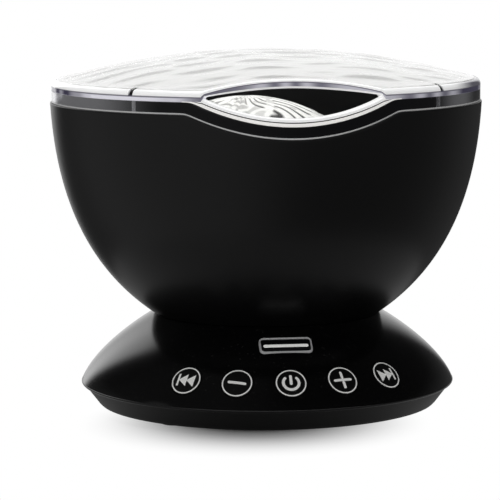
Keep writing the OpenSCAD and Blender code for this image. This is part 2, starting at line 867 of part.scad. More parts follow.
module speaker_cone() {
    foot_r = speaker_r - speaker_flange_w;
    rise = 0.55 * (speaker_h - magnet_h);
    coil_r = 0.5 * magnet_r;
    color("darkslategray")
    rotate_extrude()
        polygon([
            [foot_r - 1, speaker_z - gasket_t], [speaker_r - gasket_t / 2, speaker_z - gasket_t],
            [speaker_r - gasket_t / 2, speaker_z], [foot_r - 0.4, speaker_z], [coil_r, speaker_z + rise],
            [0, speaker_z + rise], [0, speaker_z + rise - 2], [coil_r / 2, speaker_z + rise - 1.6],
            [coil_r, speaker_z + rise - gasket_t]
        ]);
}

module speaker_magnet() {
    back_z = speaker_z + speaker_h - magnet_h;
    color("dimgray")
    translate([0, 0, back_z])
        rotate_extrude()
            polygon([
                [0, 0], [magnet_r - 1, 0], [magnet_r - 1, 1.5], [magnet_r, 1.5], [magnet_r, magnet_h - 1.5],
                [magnet_r - 1, magnet_h - 1.5], [magnet_r - 1, magnet_h], [0, magnet_h]
            ]);
}

module speaker_screws() {
    color("silver")
    around(quarter, ear_r)
        translate([0, 0, speaker_z + speaker_flange_t]) screw(speaker_flange_t + speaker_z - plate_top);
}

module bowl() {
    color("black")
    difference() {
        union() {
            difference() {
                bowl_solid();
                bowl_hollow();
            }
            translate([0, 0, neck_z - spigot_h]) ring(spigot_r - spigot_t, spigot_r, spigot_h + over);
            around(quarter, neck_screw_r)
                translate([0, 0, neck_z]) cylinder(d = neck_boss_d, h = bowl_floor_t + neck_boss_h);
            intersection() {
                bowl_solid();
                around(quarter, deck_post_r)
                    translate([0, 0, neck_z]) cylinder(d = deck_post_d, h = deck_under - neck_z);
            }
        }
        dip_tool(dip_r);
        translate([0, 0, neck_z - over]) cylinder(r = wire_hole_r, h = bowl_floor_t + 2 * over);
        around(quarter, neck_screw_r)
            translate([0, 0, neck_z - over]) cylinder(r = pilot_r, h = over + screw_bite + fit_gap);
        around(quarter, deck_post_r)
            translate([0, 0, deck_under - screw_bite - fit_gap])
                cylinder(r = pilot_r, h = screw_bite + over);
    }
}

module neck_screws() {
    color("silver")
    around(quarter, neck_screw_r)
        translate([0, 0, neck_z - top_t]) mirror([0, 0, 1]) screw(top_t + screw_bite);
}

module deck() {
    collar_top = lid_edge_z - bead_h - fit_gap;
    hook_z = corner_z + fit_gap;
    tab_r = lid_r - bead_w;
    tab = concat([[tab_r, hook_z], [lid_r - fit_gap, hook_z]],
        [for (i = [1:5]) [lid_r - lid_corner, corner_z] + (lid_corner - fit_gap) * dir(corner_turn * i / 5)],
        [[tab_r, crown_z(tab_r) - fit_gap]]);
    color("black")
    difference() {
        union() {
            translate([0, 0, deck_under]) cylinder(r = deck_r, h = deck_t);
            translate([0, 0, deck_under]) ring(deck_r - collar_t, deck_r, collar_top - deck_under);
            for (a = [0, 180, 270])
                rotate([0, 0, a]) {
                    translate([hook_in_r, -hook_w / 2, deck_under])
                        cube([hook_t, hook_w, ring_top + fit_gap + hook_nose_h - deck_under]);
                    translate([hook_nose_r, -hook_w / 2, ring_top + fit_gap])
                        cube([hook_in_r - hook_nose_r + hook_t / 2, hook_w, hook_nose_h]);
                }
            around(thirds, cup_screw_r)
                translate([0, 0, deck_under - cup_boss_h])
                    cylinder(d = cup_boss_d, h = cup_boss_h + deck_t);
            for (a = notch_turns)
                rotate([0, 0, a]) {
                    translate([deck_r - collar_t, -notch_hook_w / 2, 0]) {
                        translate([0, 0, collar_top - over])
                            cube([collar_t, notch_hook_w, hook_z + notch_hook_h - collar_top + over]);
                        translate([0, 0, hook_z]) cube([notch_hook_l, notch_hook_w, notch_hook_h]);
                    }
                    translate([0, notch_hook_w / 2, 0]) rotate([90, 0, 0])
                        linear_extrude(notch_hook_w) polygon(tab);
                }
        }
        dip_tool(lip_top_r + lip_h + fit_gap);
        translate([0, 0, deck_under - over]) cylinder(r = deck_hole_r, h = deck_t + 2 * over);
        around(quarter, deck_post_r)
            translate([0, 0, deck_under - over]) cylinder(r = screw_hole_r, h = deck_t + 2 * over);
        around(thirds, cup_screw_r)
            translate([0, 0, deck_under - cup_boss_h + over])
                cylinder(r = pilot_r, h = cup_boss_h + deck_t);
        translate([0, centre_distance, deck_under - over])
            cylinder(r = motor_boss_r + fit_gap, h = deck_t + 2 * over);
        for (x = [-1, 1])
            translate([x * motor_screw_x, centre_distance, deck_under - over]) {
                cylinder(d = motor_screw_d + fit_gap, h = deck_t + 2 * over);
                translate([0, 0, over + deck_t - motor_head_h - fit_gap / 2])
                    cylinder(d = motor_head_d + fit_gap, h = deck_t + over);
            }
    }
}

module deck_screws() {
    color("silver")
    around(quarter, deck_post_r) translate([0, 0, deck_z]) screw(deck_t + screw_bite);
}

module led_cup() {
    color("white")
    translate([0, 0, deck_z])
        difference() {
            cylinder(r = journal_r, h = gear_h - thrust_gap);
            translate([0, 0, cup_floor_t]) cylinder(r = journal_r - cup_rim_t, h = gear_h);
            translate([0, 0, -over]) cylinder(r = cup_hole_r, h = gear_h);
            around(thirds, cup_screw_r)
                translate([0, 0, -over]) cylinder(r = screw_hole_r, h = gear_h);
        }
}

module led_board() {
    color("white")
    translate([0, 0, led_board_z])
        difference() {
            cylinder(r = journal_r - cup_rim_t - fit_gap, h = led_board_t);
            around(thirds, cup_screw_r)
                translate([0, 0, -over]) cylinder(r = screw_hole_r, h = led_board_t + 2 * over);
        }
}

module lamp_bead() {
    cylinder(d = led_d + 0.8, h = led_flange_t);
    cylinder(d = led_d, h = led_flange_t + led_stem_h);
    translate([0, 0, led_flange_t + led_stem_h]) sphere(d = led_d);
}

module leds() {
    color("lightcyan")
    translate([0, 0, led_board_top]) {
        around([for (i = [0:led_outer_count - 1]) 30 + 360 * i / led_outer_count], led_outer_r)
            intersection() {
                lamp_bead();
                cylinder(d = 2 * led_d, h = 4 * led_d);
            }
        around([for (i = [0:led_inner_count - 1]) 30 + 360 * i / led_inner_count], led_inner_r)
            intersection() {
                lamp_bead();
                cylinder(d = 2 * led_d, h = 4 * led_d);
            }
    }
}

module cup_screws() {
    color("silver")
    around(thirds, cup_screw_r)
        translate([0, 0, led_board_top]) screw(led_board_t + cup_floor_t + deck_t + cup_boss_h / 2);
}

module gear_motor() {
    color("silver")
    translate([0, centre_distance, deck_under])
        difference() {
            union() {
                translate([0, 0, -motor_gearbox_h]) cylinder(d = motor_d, h = motor_gearbox_h);
                translate([0, 0, -motor_h]) cylinder(d = motor_d - 2 * motor_can_step, h = motor_h);
                cylinder(r = motor_boss_r, h = motor_boss_h);
                for (x = [-1, 1])
                    translate([x * motor_d / 5 - 1, -0.4, -motor_h - 3]) cube([2, 0.8, 4]);
            }
            translate([0, 0, -shaft_in - fit_gap])
                cylinder(r = shaft_d / 2 + run_fit, h = shaft_in + motor_boss_h + over);
            for (x = [-1, 1])
                translate([x * motor_screw_x, 0, -5]) cylinder(d = motor_screw_d + 0.1, h = 5 + over);
        }
}

module motor_screws() {
    color("silver")
    for (x = [-1, 1])
        translate([x * motor_screw_x, centre_distance, deck_z - motor_head_h - fit_gap / 2])
            screw(deck_t + 2, motor_screw_d, motor_head_d, motor_head_h);
}

module motor_shaft() {
    color("silver")
    translate([0, centre_distance, deck_under - shaft_in])
        cylinder(d = shaft_d, h = shaft_in + pinion_z + pinion_h + 0.5 - deck_under);
}

module drive_pinion() {
    color("white")
    translate([0, centre_distance, pinion_z])
        difference() {
            rotate([0, 0, 180 / pinion_teeth]) gear(pinion_teeth, pinion_h, backlash);
            translate([0, 0, -over]) cylinder(r = shaft_d / 2 + press_gap, h = pinion_h + 2 * over);
        }
}

module rotor_ring() {
    color("white")
    translate([0, 0, ring_z])
        difference() {
            gear(ring_teeth, gear_h, backlash);
            translate([0, 0, -over]) cylinder(r = journal_r + run_fit, h = gear_h + 2 * over);
        }
}

// Ripples of the dome: three crossing waves that die out towards the rim
function ripple(r, a) =
    let (x = r * cos(a), y = r * sin(a), fade = 1 - pow(r / dome_r, 4))
    ripple_h * fade / 3
        * (sin(26 * x + 40 * sin(9 * y)) + sin(24 * y + 35 * sin(8 * x)) + sin(17 * (x - y)));
function dome_rise(s) = (dome_h - dome_t - ripple_h) * (1 - s * s);
function dome_grid(r_max, base, waves) =
    [for (i = [1:dome_rows], k = [0:dome_columns - 1])
        let (s = i / dome_rows, a = 360 * k / dome_columns, r = r_max * s)
        [r * cos(a), r * sin(a), base + dome_rise(s) + waves * ripple(r, a)]];

module ripple_dome() {
    n = dome_columns;
    m = dome_rows * n;
    top = 2 * m;
    points = concat(
        dome_grid(dome_r, ring_top + dome_t, 1),
        dome_grid(dome_inner_r, ring_top, 0),
        [[0, 0, ring_top + dome_t + dome_rise(0) + ripple(0, 0)], [0, 0, ring_top + dome_rise(0)]]
    );
    faces = concat(
        [for (k = [0:n - 1]) [top, (k + 1) % n, k]],
        [for (i = [0:dome_rows - 2], k = [0:n - 1]) let (j = (k + 1) % n)
            [i * n + k, i * n + j, (i + 1) * n + k]],
        [for (i = [0:dome_rows - 2], k = [0:n - 1]) let (j = (k + 1) % n)
            [i * n + j, (i + 1) * n + j, (i + 1) * n + k]],
        [for (k = [0:n - 1]) [top + 1, m + k, m + (k + 1) % n]],
        [for (i = [0:dome_rows - 2], k = [0:n - 1]) let (j = (k + 1) % n)
            [m + i * n + j, m + i * n + k, m + (i + 1) * n + k]],
        [for (i = [0:dome_rows - 2], k = [0:n - 1]) let (j = (k + 1) % n)
            [m + (i + 1) * n + j, m + i * n + j, m + (i + 1) * n + k]],
        [for (k = [0:n - 1]) let (j = (k + 1) % n) [m - n + k, m - n + j, 2 * m - n + k]],
        [for (k = [0:n - 1]) let (j = (k + 1) % n) [m - n + j, 2 * m - n + j, 2 * m - n + k]]
    );
    color("lightcyan")
    polyhedron(points, faces);
}

module eye_cut() {
    intersection() {
        dip_tool(lip_top_r);
        translate([0, -(lid_r - eye_depth) - eye_r, 0]) cylinder(r = eye_r, h = 2 * rim_z);
    }
}

function crown_z(r) = lid_edge_z - (crown_r - crown_h) + sqrt(pow(crown_r, 2) - r * r);
function crown_arc(r_max, lift, n) = [for (i = [0:n]) let (r = r_max * i / n) [r, crown_z(r) + lift]];
function corner_arc(n) =
    [for (i = [0:n]) [lid_r - lid_corner, corner_z] + lid_corner * dir(corner_turn * (1 - i / n))];

module lid() {
    inner_r = lid_r - bead_w;
    under = lid_edge_z - bead_h;
    side_mid = (under + corner_z) / 2;
    groove_r = corner_in_r - groove_w / 2;
    crown = crown_arc(corner_in_r - groove_w, 0, crown_steps);
    ceiling = crown_arc(inner_r, -lid_t, crown_steps);
    color("lightcyan", 0.5) {
        difference() {
            union() {
                rotate_extrude()
                    polygon(concat(crown, [[groove_r, crown_z(groove_r) - groove_h]], corner_arc(6),
                        [[lid_r, under], [inner_r, under]],
                        [for (i = [crown_steps:-1:0]) ceiling[i]]));
                intersection() {
                    translate([0, 0, rim_z - dip_h])
                        ring(lid_r - skirt_t, lid_r, dip_h + side_mid - rim_z);
                    union() {
                        translate([-rim_d, -rim_d, rim_z + seam_gap]) cube([2 * rim_d, 2 * rim_d, rim_z]);
                        dip_tool(dip_r - seam_gap);
                    }
                }
                intersection() {
                    translate([0, 0, rim_z - dip_h]) ring(inner_r, lid_r, dip_h + side_mid - rim_z);
                    difference() {
                        dip_tool(lip_top_r + lip_h);
                        translate([0, over, 0]) dip_tool(lip_top_r);
                    }
                }
            }
            eye_cut();
            for (a = notch_turns)
                rotate([0, 0, a])
                    translate([notch_in_r, -notch_w / 2, corner_z])
                        cube([lid_r - notch_in_r + over, notch_w, crown_h]);
        }
        for (a = notch_turns)
            rotate([0, 0, a])
                translate([deck_r + fit_gap / 2, -rib_w / 2, rim_z + seam_gap])
                    cube([lid_r - skirt_t / 2 - deck_r - fit_gap / 2, rib_w, under - rim_z - seam_gap]);
    }
}

// Wires from the main board's plug, through the neck, to the plug of the lamp board
module wire_loom() {
    low_z = board_top + plug_size[2];
    high_z = led_board_z - plug_size[2];
    color("firebrick")
    union() {
        translate([0, plug_y, low_z])
            cylinder(d = loom_d, h = loom_level_z - loom_bend - low_z);
        translate([0, plug_y - loom_bend, loom_level_z - loom_bend]) rotate([90, 0, 90])
            rotate_extrude(angle = 90) translate([loom_bend, 0]) circle(d = loom_d);
        translate([0, loom_bend, loom_level_z])
            rotate([-90, 0, 0]) cylinder(d = loom_d, h = plug_y - 2 * loom_bend);
        translate([0, loom_bend, loom_level_z + loom_bend]) rotate([90, 0, 90])
            rotate([0, 0, 180]) rotate_extrude(angle = 90) translate([loom_bend, 0]) circle(d = loom_d);
        translate([0, 0, loom_level_z + loom_bend])
            cylinder(d = loom_d, h = high_z - loom_level_z - loom_bend);
    }
}

module loom_plugs() {
    color("ivory") {
        translate([-plug_size[0] / 2, plug_y - plug_size[1] / 2, board_top]) cube(plug_size);
        translate([-plug_size[0] / 2, -plug_size[1] / 2, led_board_z - plug_size[2]]) cube(plug_size);
    }
}

base_plate();
rubber_feet();
base_screws();
base_cover();
ir_bezel();
ir_window();
ir_receiver();
button_previous();
button_minus();
button_power();
button_plus();
button_next();
plunger_previous();
plunger_minus();
plunger_power();
plunger_plus();
plunger_next();
tact_switches();
key_boards();
key_bracket();
bracket_screws();
main_board();
board_screws();
board_components();
usb_inlet();
audio_jack();
card_socket();
speaker_basket();
speaker_cone();
speaker_magnet();
speaker_screws();
bowl();
neck_screws();
deck();
deck_screws();
led_cup();
led_board();
leds();
cup_screws();
gear_motor();
motor_screws();
motor_shaft();
drive_pinion();
rotor_ring();
ripple_dome();
lid();
wire_loom();
loom_plugs();
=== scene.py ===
import math

import bmesh
import bpy
import numpy as np
from mathutils import Matrix, Vector


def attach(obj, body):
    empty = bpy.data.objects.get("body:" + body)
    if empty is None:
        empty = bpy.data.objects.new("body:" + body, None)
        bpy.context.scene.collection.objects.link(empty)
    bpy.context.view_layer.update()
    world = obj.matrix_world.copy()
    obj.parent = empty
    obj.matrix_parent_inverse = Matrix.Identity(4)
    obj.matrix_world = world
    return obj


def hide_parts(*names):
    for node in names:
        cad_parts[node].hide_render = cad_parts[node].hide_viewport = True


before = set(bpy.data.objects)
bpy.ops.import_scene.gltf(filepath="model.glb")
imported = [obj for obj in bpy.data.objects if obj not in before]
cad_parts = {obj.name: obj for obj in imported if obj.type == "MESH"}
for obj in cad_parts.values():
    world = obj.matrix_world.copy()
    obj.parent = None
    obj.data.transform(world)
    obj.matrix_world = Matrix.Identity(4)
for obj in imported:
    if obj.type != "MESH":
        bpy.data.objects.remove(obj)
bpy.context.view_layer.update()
scene = bpy.context.scene
mm = 0.001
fullTurn = 2 * math.pi
print("frame loaded:", len(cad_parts), "nodes")


def newObject(name, data):
    item = bpy.data.objects.new(name, data)
    scene.collection.objects.link(item)
    return item


def aimAt(item, place, aim, roll=0.0):
    # a camera or a lamp at its place, looking at its aim
    look = (aim - place).to_track_quat("-Z", "Y").to_matrix()
    look = look @ Matrix.Rotation(math.radians(roll), 3, "Z")
    item.matrix_world = Matrix.Translation(place) @ look.to_4x4()


# view: the angle, distance and lens that the outline in the photograph gives, in millimetres and degrees
viewpoint = dict(turn=-7.6, distance=950, height=176.5, aimAcross=-6.0, aimHeight=55.5, focalPixels=2640.7,
                 imagePixels=500, roll=-0.32, sensor=36, nearest=0.05, farthest=20)


def setCamera(v):
    turn = math.radians(v["turn"])
    across = Vector((math.cos(turn), math.sin(turn), 0))
    place = Vector((v["distance"] * math.sin(turn), -v["distance"] * math.cos(turn), v["height"])) * mm
    aim = (across * v["aimAcross"] + Vector((0, 0, v["aimHeight"]))) * mm
    data = bpy.data.cameras.new("photoView")
    data.sensor_width = v["sensor"]
    data.lens = v["focalPixels"] / v["imagePixels"] * v["sensor"]
    data.clip_start, data.clip_end = v["nearest"], v["farthest"]
    scene.camera = newObject("photoView", data)
    aimAt(scene.camera, place, aim, v["roll"])


setCamera(viewpoint)
scene.view_settings.view_transform = "Standard"


# shader nodes: an input is linked where it is given a socket, and set where it is given a value
def addNode(tree, kind, links=None, **settings):
    node = tree.nodes.new(kind)
    for key, value in settings.items():
        setattr(node, key, value)
    for socket, source in (links or {}).items():
        if isinstance(source, bpy.types.NodeSocket):
            tree.links.new(source, node.inputs[socket])
        else:
            node.inputs[socket].default_value = source
    return node


def objectPlace(tree):
    return addNode(tree, "ShaderNodeTexCoord").outputs["Object"]


def stretched(tree, place, scale):
    return addNode(tree, "ShaderNodeMapping", {"Vector": place, "Scale": scale}).outputs[0]


def axisParts(tree, vector):
    return addNode(tree, "ShaderNodeSeparateXYZ", {0: vector}).outputs


def noiseValue(tree, place, scale, detail=2.0):
    links = {"Vector": place, "Scale": scale, "Detail": detail}
    return addNode(tree, "ShaderNodeTexNoise", links).outputs["Fac"]


def remap(tree, value, low, high, outLow=0.0, outHigh=1.0, curve="LINEAR"):
    links = {0: value, 1: low, 2: high, 3: outLow, 4: outHigh}
    return addNode(tree, "ShaderNodeMapRange", links, interpolation_type=curve).outputs[0]


def ease(tree, value, low, high, outLow=0.0, outHigh=1.0):
    return remap(tree, value, low, high, outLow, outHigh, "SMOOTHSTEP")


def mathNode(tree, operation, first, second):
    return addNode(tree, "ShaderNodeMath", {0: first, 1: second}, operation=operation).outputs[0]


def multiply(tree, product, *factors):
    for factor in factors:
        product = mathNode(tree, "MULTIPLY", product, factor)
    return product


def vectorNode(tree, operation, output, *inputs):
    return addNode(tree, "ShaderNodeVectorMath", dict(enumerate(inputs)), operation=operation).outputs[output]


def blendColour(tree, factor, first, second):
    return addNode(tree, "ShaderNodeMix", {0: factor, 6: first, 7: second}, data_type="RGBA").outputs[2]


# shader groups: each gives a colour, a roughness and a height that change over the surface
groupOutputs = dict(colour="NodeSocketColor", roughness="NodeSocketFloat", height="NodeSocketFloat")


def newGroup(name, colours, values):
    # the finishes set every input, so none has a value of its own here
    group = bpy.data.node_groups.new(name, "ShaderNodeTree")
    for kind, labels in (("NodeSocketColor", colours), ("NodeSocketFloat", values)):
        for label in labels:
            group.interface.new_socket(label, in_out="INPUT", socket_type=kind)
    for label, kind in groupOutputs.items():
        group.interface.new_socket(label, in_out="OUTPUT", socket_type=kind)
    return group, group.nodes.new("NodeGroupInput").outputs


def closeGroup(tree, *sources):
    result = tree.nodes.new("NodeGroupOutput")
    for label, source in zip(groupOutputs, sources):
        tree.links.new(source, result.inputs[label])
    return tree


# moulded skin: a fine spark-eroded grain, slow cloudy changes of gloss, and a few pale specks of dust on top
skinLook = dict(cloudScale=38.0, cloudDetail=3.0, speckScale=900.0, speckRange=(0.72, 0.8),
                upRange=(0.2, 1.0), dustColour=(0.45, 0.44, 0.42, 1))


def makeMouldedSkin(s):
    tree, given = newGroup("mouldedSkin", ["colour"], ["gloss", "grain", "cloud", "dust"])
    place = objectPlace(tree)
    speck = remap(tree, noiseValue(tree, place, s["speckScale"], 0.0), *s["speckRange"])
    normal = addNode(tree, "ShaderNodeNewGeometry").outputs["Normal"]
    upward = remap(tree, axisParts(tree, normal)[2], *s["upRange"])
    dust = multiply(tree, speck, upward, given["dust"])
    colour = blendColour(tree, dust, given["colour"], s["dustColour"])
    cloud = mathNode(tree, "SUBTRACT", noiseValue(tree, place, s["cloudScale"], s["cloudDetail"]), 0.5)
    roughness = mathNode(tree, "ADD", given["gloss"], multiply(tree, cloud, given["cloud"]))
    return closeGroup(tree, colour, roughness, noiseValue(tree, place, given["grain"], 1.0))


# worn metal: brushed streaks along one way and dull patches where fingers and tools have been
metalLook = dict(drawn=(300.0, 300.0, 6000.0), patchScale=260.0, patchDetail=3.0, patchShare=0.35,
                 dullColour=(0.3, 0.29, 0.28, 1))


def makeWornMetal(m):
    tree, given = newGroup("wornMetal", ["colour"], ["gloss", "streak"])
    place = objectPlace(tree)
    streak = noiseValue(tree, stretched(tree, place, m["drawn"]), 1.0)
    patch = multiply(tree, noiseValue(tree, place, m["patchScale"], m["patchDetail"]), m["patchShare"])
    colour = blendColour(tree, patch, given["colour"], m["dullColour"])
    spread = multiply(tree, mathNode(tree, "SUBTRACT", streak, 0.5), given["streak"])
    return closeGroup(tree, colour, mathNode(tree, "ADD", given["gloss"], spread), streak)


# clouded clear plastic: faint flow marks from the mould and a haze that thickens in places
hazeLook = dict(drawn=(1.0, 2.2, 1.0), flowScale=70.0, flowDetail=3.0, cloudScale=30.0, cloudShare=0.04,
                hazeColour=(0.6, 0.6, 0.66, 1))


def makeFlowHaze(h):
    tree, given = newGroup("flowHaze", ["colour"], ["haze", "gloss"])
    place = objectPlace(tree)
    flow = noiseValue(tree, stretched(tree, place, h["drawn"]), h["flowScale"], h["flowDetail"])
    colour = blendColour(tree, multiply(tree, flow, given["haze"]), given["colour"], h["hazeColour"])
    cloud = multiply(tree, noiseValue(tree, place, h["cloudScale"]), h["cloudShare"])
    return closeGroup(tree, colour, mathNode(tree, "ADD", given["gloss"], cloud), flow)


# painted shade on resin: dark lines of painted shade and reflection where the mesh's own crease value is
# high, over faintly clouded plastic
resinLook = dict(cloudScale=120.0, greyShare=0.15, grey=(0.6, 0.6, 0.6, 1), driftShare=0.08, grainScale=400.0)


def makePaintedShadeResin(r):
    tree, given = newGroup("paintedShadeResin", ["colour", "line"], ["gloss"])
    place = objectPlace(tree)
    crease = addNode(tree, "ShaderNodeAttribute", attribute_name="crease").outputs["Fac"]
    cloud = noiseValue(tree, place, r["cloudScale"])
    greyed = blendColour(tree, multiply(tree, cloud, r["greyShare"]), given["colour"], r["grey"])
    colour = blendColour(tree, crease, greyed, given["line"])
    roughness = mathNode(tree, "ADD", given["gloss"], multiply(tree, cloud, r["driftShare"]))
    return closeGroup(tree, colour, roughness, noiseValue(tree, place, r["grainScale"]))


skinGroup = makeMouldedSkin(skinLook)
metalGroup = makeWornMetal(metalLook)
hazeGroup = makeFlowHaze(hazeLook)
resinGroup = makePaintedShadeResin(resinLook)


# finishes: a maker takes its group's own values, then plain values for the shader, and keeps the material
finishes = {}
shaderSockets = dict(ior="IOR", coat="Coat Weight", coatGloss="Coat Roughness", sheer="Transmission Weight",
                     metallic="Metallic", glow="Emission Strength", glowColour="Emission Color")


def newFinish(name, group, inputs, bumpDepth, bumpStrength, **sockets):
    finish = finishes[name] = bpy.data.materials.new(name)
    finish.use_nodes = True
    tree = finish.node_tree
    shader = tree.nodes["Principled BSDF"]
    effect = addNode(tree, "ShaderNodeGroup", inputs, node_tree=group).outputs
    links = {"Height": effect["height"], "Strength": bumpStrength, "Distance": bumpDepth}
    bump = addNode(tree, "ShaderNodeBump", links).outputs["Normal"]
    sources = {"Base Color": effect["colour"], "Roughness": effect["roughness"], "Normal": bump}
    for label, source in sources.items():
        tree.links.new(source, shader.inputs[label])
    for label, value in sockets.items():
        shader.inputs[shaderSockets[label]].default_value = value
    return finish


def moulded(name, colour, gloss, grain=2600.0, cloud=0.06, dust=0.03, depth=1.5e-5, strength=0.12, **sockets):
    inputs = dict(colour=(*colour, 1), gloss=gloss, grain=grain, cloud=cloud, dust=dust)
    return newFinish(name, skinGroup, inputs, depth, strength, **sockets)


def metal(name, colour, gloss, streak=0.2, depth=1e-5, strength=0.1):
    inputs = dict(colour=(*colour, 1), gloss=gloss, streak=streak)
    return newFinish(name, metalGroup, inputs, depth, strength, metallic=1.0)


def clear(name, colour, haze, gloss, sheer, depth=2e-5, strength=0.05, **sockets):
    inputs = dict(colour=(*colour, 1), haze=haze, gloss=gloss)
    return newFinish(name, hazeGroup, inputs, depth, strength, sheer=sheer, **sockets)


def paintedShadeAndGlow(name, colour, line, gloss, glow, depth=2e-5, strength=0.1, **sockets):
    # painted light: a share of the colour glows though the plastic is no lamp, and the dark lines of painted
    # shade stay dark
    inputs = dict(colour=(*colour, 1), line=(*line, 1), gloss=gloss)
    finish = newFinish(name, resinGroup, inputs, depth, strength, glow=glow, **sockets)
    shader = finish.node_tree.nodes["Principled BSDF"]
    source = shader.inputs["Base Color"].links[0].from_socket
    finish.node_tree.links.new(source, shader.inputs["Emission Color"])
    return finish


def passLamps(finish, share):
    # rays on their way to a lamp go straight through, so that what is under the clear plastic is lit
    tree = finish.node_tree
    toLamp = multiply(tree, addNode(tree, "ShaderNodeLightPath").outputs["Is Shadow Ray"], share)
    plastic = tree.nodes["Principled BSDF"].outputs[0]
    gap = addNode(tree, "ShaderNodeBsdfTransparent").outputs[0]
    mix = addNode(tree, "ShaderNodeMixShader", {0: toLamp, 1: plastic, 2: gap}).outputs[0]
    tree.links.new(mix, tree.nodes["Material Output"].inputs["Surface"])


moulded("satinBlack", (0.003, 0.003, 0.0032), 0.32, ior=1.33)
moulded("baseBlack", (0.002, 0.002, 0.0022), 0.16, ior=1.36)
moulded("plateBlack", (0.004, 0.004, 0.004), 0.42, ior=1.32)
moulded("deckBlack", (0.004, 0.004, 0.0045), 0.5, dust=0.0, ior=1.3)
moulded("keyBlack", (0.006, 0.006, 0.006), 0.34, grain=3400.0, ior=1.36)
# the printed marks glow a little: painted light, as the print is no lamp
moulded("keyPrintGlowing", (0.8, 0.8, 0.78), 0.5, cloud=0.1, dust=0.0, glow=0.2, glowColour=(1, 1, 0.98, 1))
moulded("footRubber", (0.012, 0.012, 0.012), 0.8, grain=1800.0, strength=0.3)
# the frame's faint glow is a painted highlight on its edge
moulded("bezelGrey", (0.45, 0.45, 0.46), 0.3, glow=0.06)
moulded("smokedLens", (0.004, 0.004, 0.005), 0.08, cloud=0.03, strength=0.02, coat=0.6)
# the pale bar on the lens glows: a painted highlight across the lens
moulded("highlightBar", (0.7, 0.7, 0.68), 0.35, dust=0.0, glow=0.34, glowColour=(1, 1, 0.98, 1))
moulded("epoxyBlack", (0.015, 0.015, 0.017), 0.4)
moulded("switchIvory", (0.72, 0.66, 0.52), 0.45)
moulded("boardGreen", (0.012, 0.09, 0.035), 0.35, grain=1400.0, cloud=0.15)
moulded("boardWhite", (0.8, 0.8, 0.78), 0.4, grain=1400.0, cloud=0.1)
moulded("conePaper", (0.03, 0.028, 0.026), 0.9, grain=700.0, strength=0.5)
moulded("whitePlastic", (0.8, 0.8, 0.79), 0.42)
moulded("wireSleeve", (0.35, 0.03, 0.025), 0.45)
metal("screwSteel", (0.55, 0.55, 0.54), 0.32)
metal("socketSteel", (0.66, 0.65, 0.62), 0.26)
metal("shaftSteel", (0.6, 0.6, 0.6), 0.2)
metal("basketSteel", (0.32, 0.32, 0.33), 0.4, 0.3)
metal("magnetIron", (0.2, 0.19, 0.19), 0.5, 0.3)
clear("lampClear", (0.95, 0.97, 1.0), 0.02, 0.04, 0.8)
# the skirt's foot glows: a painted highlight along the seam
clear("skirtFoot", (0.5, 0.5, 0.5), 0.05, 0.2, 0.1, ior=1.49, glow=0.13)
# the ribs glow: painted light that makes up for the light lost through the skirt
clear("ribClear", (0.62, 0.62, 0.62), 0.05, 0.2, 0.2, ior=1.45, glow=0.4)
# the lip's lower band glows: painted light
clear("lipCream", (0.9, 0.89, 0.86), 0.05, 0.15, 0.05, ior=1.49, coat=0.3, glow=0.38,
      glowColour=(1, 0.98, 0.95, 1))
# the fine cut line in the lip is coloured dark as painted shade
clear("lipLine", (0.1, 0.1, 0.1), 0.05, 0.3, 0.0, ior=1.45)
# the lid's and dome's finishes: their glow is painted light and their dark lines are painted shade; the milky
# corner and the lavender side are lit and shaded copies of the edge's clear plastic
paintedShadeAndGlow("edgeMilkyLit", (0.92, 0.92, 0.92), (0.03, 0.026, 0.05), 0.12, 0.42, ior=1.49, coat=0.3)
paintedShadeAndGlow("edgeLavenderShaded", (0.72, 0.71, 0.78), (0.03, 0.026, 0.055), 0.1, 0.55, ior=1.49)
paintedShadeAndGlow("domeSilver", (0.96, 0.96, 0.94), (0.008, 0.008, 0.008), 0.08, 0.22, ior=1.5, coat=0.3)
paintedShadeAndGlow("crownClear", (0.95, 0.95, 0.94), (0.55, 0.55, 0.54), 0.04, 0.0, ior=1.49, sheer=0.3, coat=0.5,
        coatGloss=0.03)
paintedShadeAndGlow("skirtClear", (0.5, 0.5, 0.52), (0.025, 0.025, 0.028), 0.02, 0.11, ior=1.22, sheer=1.0)
passLamps(finishes["crownClear"], 0.85)
passLamps(finishes["skirtClear"], 0.9)
print("finishes:", len(finishes))


# surfaces: grids of points worked out as whole arrays, in millimetres
def gridFaces(rows, columns, wrapRows, wrapColumns):
    # quads between neighbours; a wrapped way joins its last line to its first
    i, j = np.meshgrid(np.arange(rows if wrapRows else rows - 1),
                       np.arange(columns if wrapColumns else columns - 1), indexing="ij")
    nextI, nextJ = (i + 1) % rows, (j + 1) % columns
    quads = [i * columns + j, i * columns + nextJ, nextI * columns + nextJ, nextI * columns + j]
    return np.stack(quads, axis=-1).reshape(-1, 4)


def buildMesh(points, faces, faceSlots=None, mergeWithin=2e-7, leastEdge=1e-7):
    mesh = bpy.data.meshes.new("surface")
    mesh.from_pydata((np.asarray(points).reshape(-1, 3) * mm).tolist(), [], faces.tolist())
    if faceSlots is not None:
        mesh.polygons.foreach_set("material_index", np.asarray(faceSlots, np.int32))
    work = bmesh.new()
    work.from_mesh(mesh)
    bmesh.ops.remove_doubles(work, verts=work.verts, dist=mergeWithin)
    bmesh.ops.dissolve_degenerate(work, edges=work.edges, dist=leastEdge)
    bmesh.ops.recalc_face_normals(work, faces=work.faces)
    work.to_mesh(mesh)
    work.free()
    return mesh


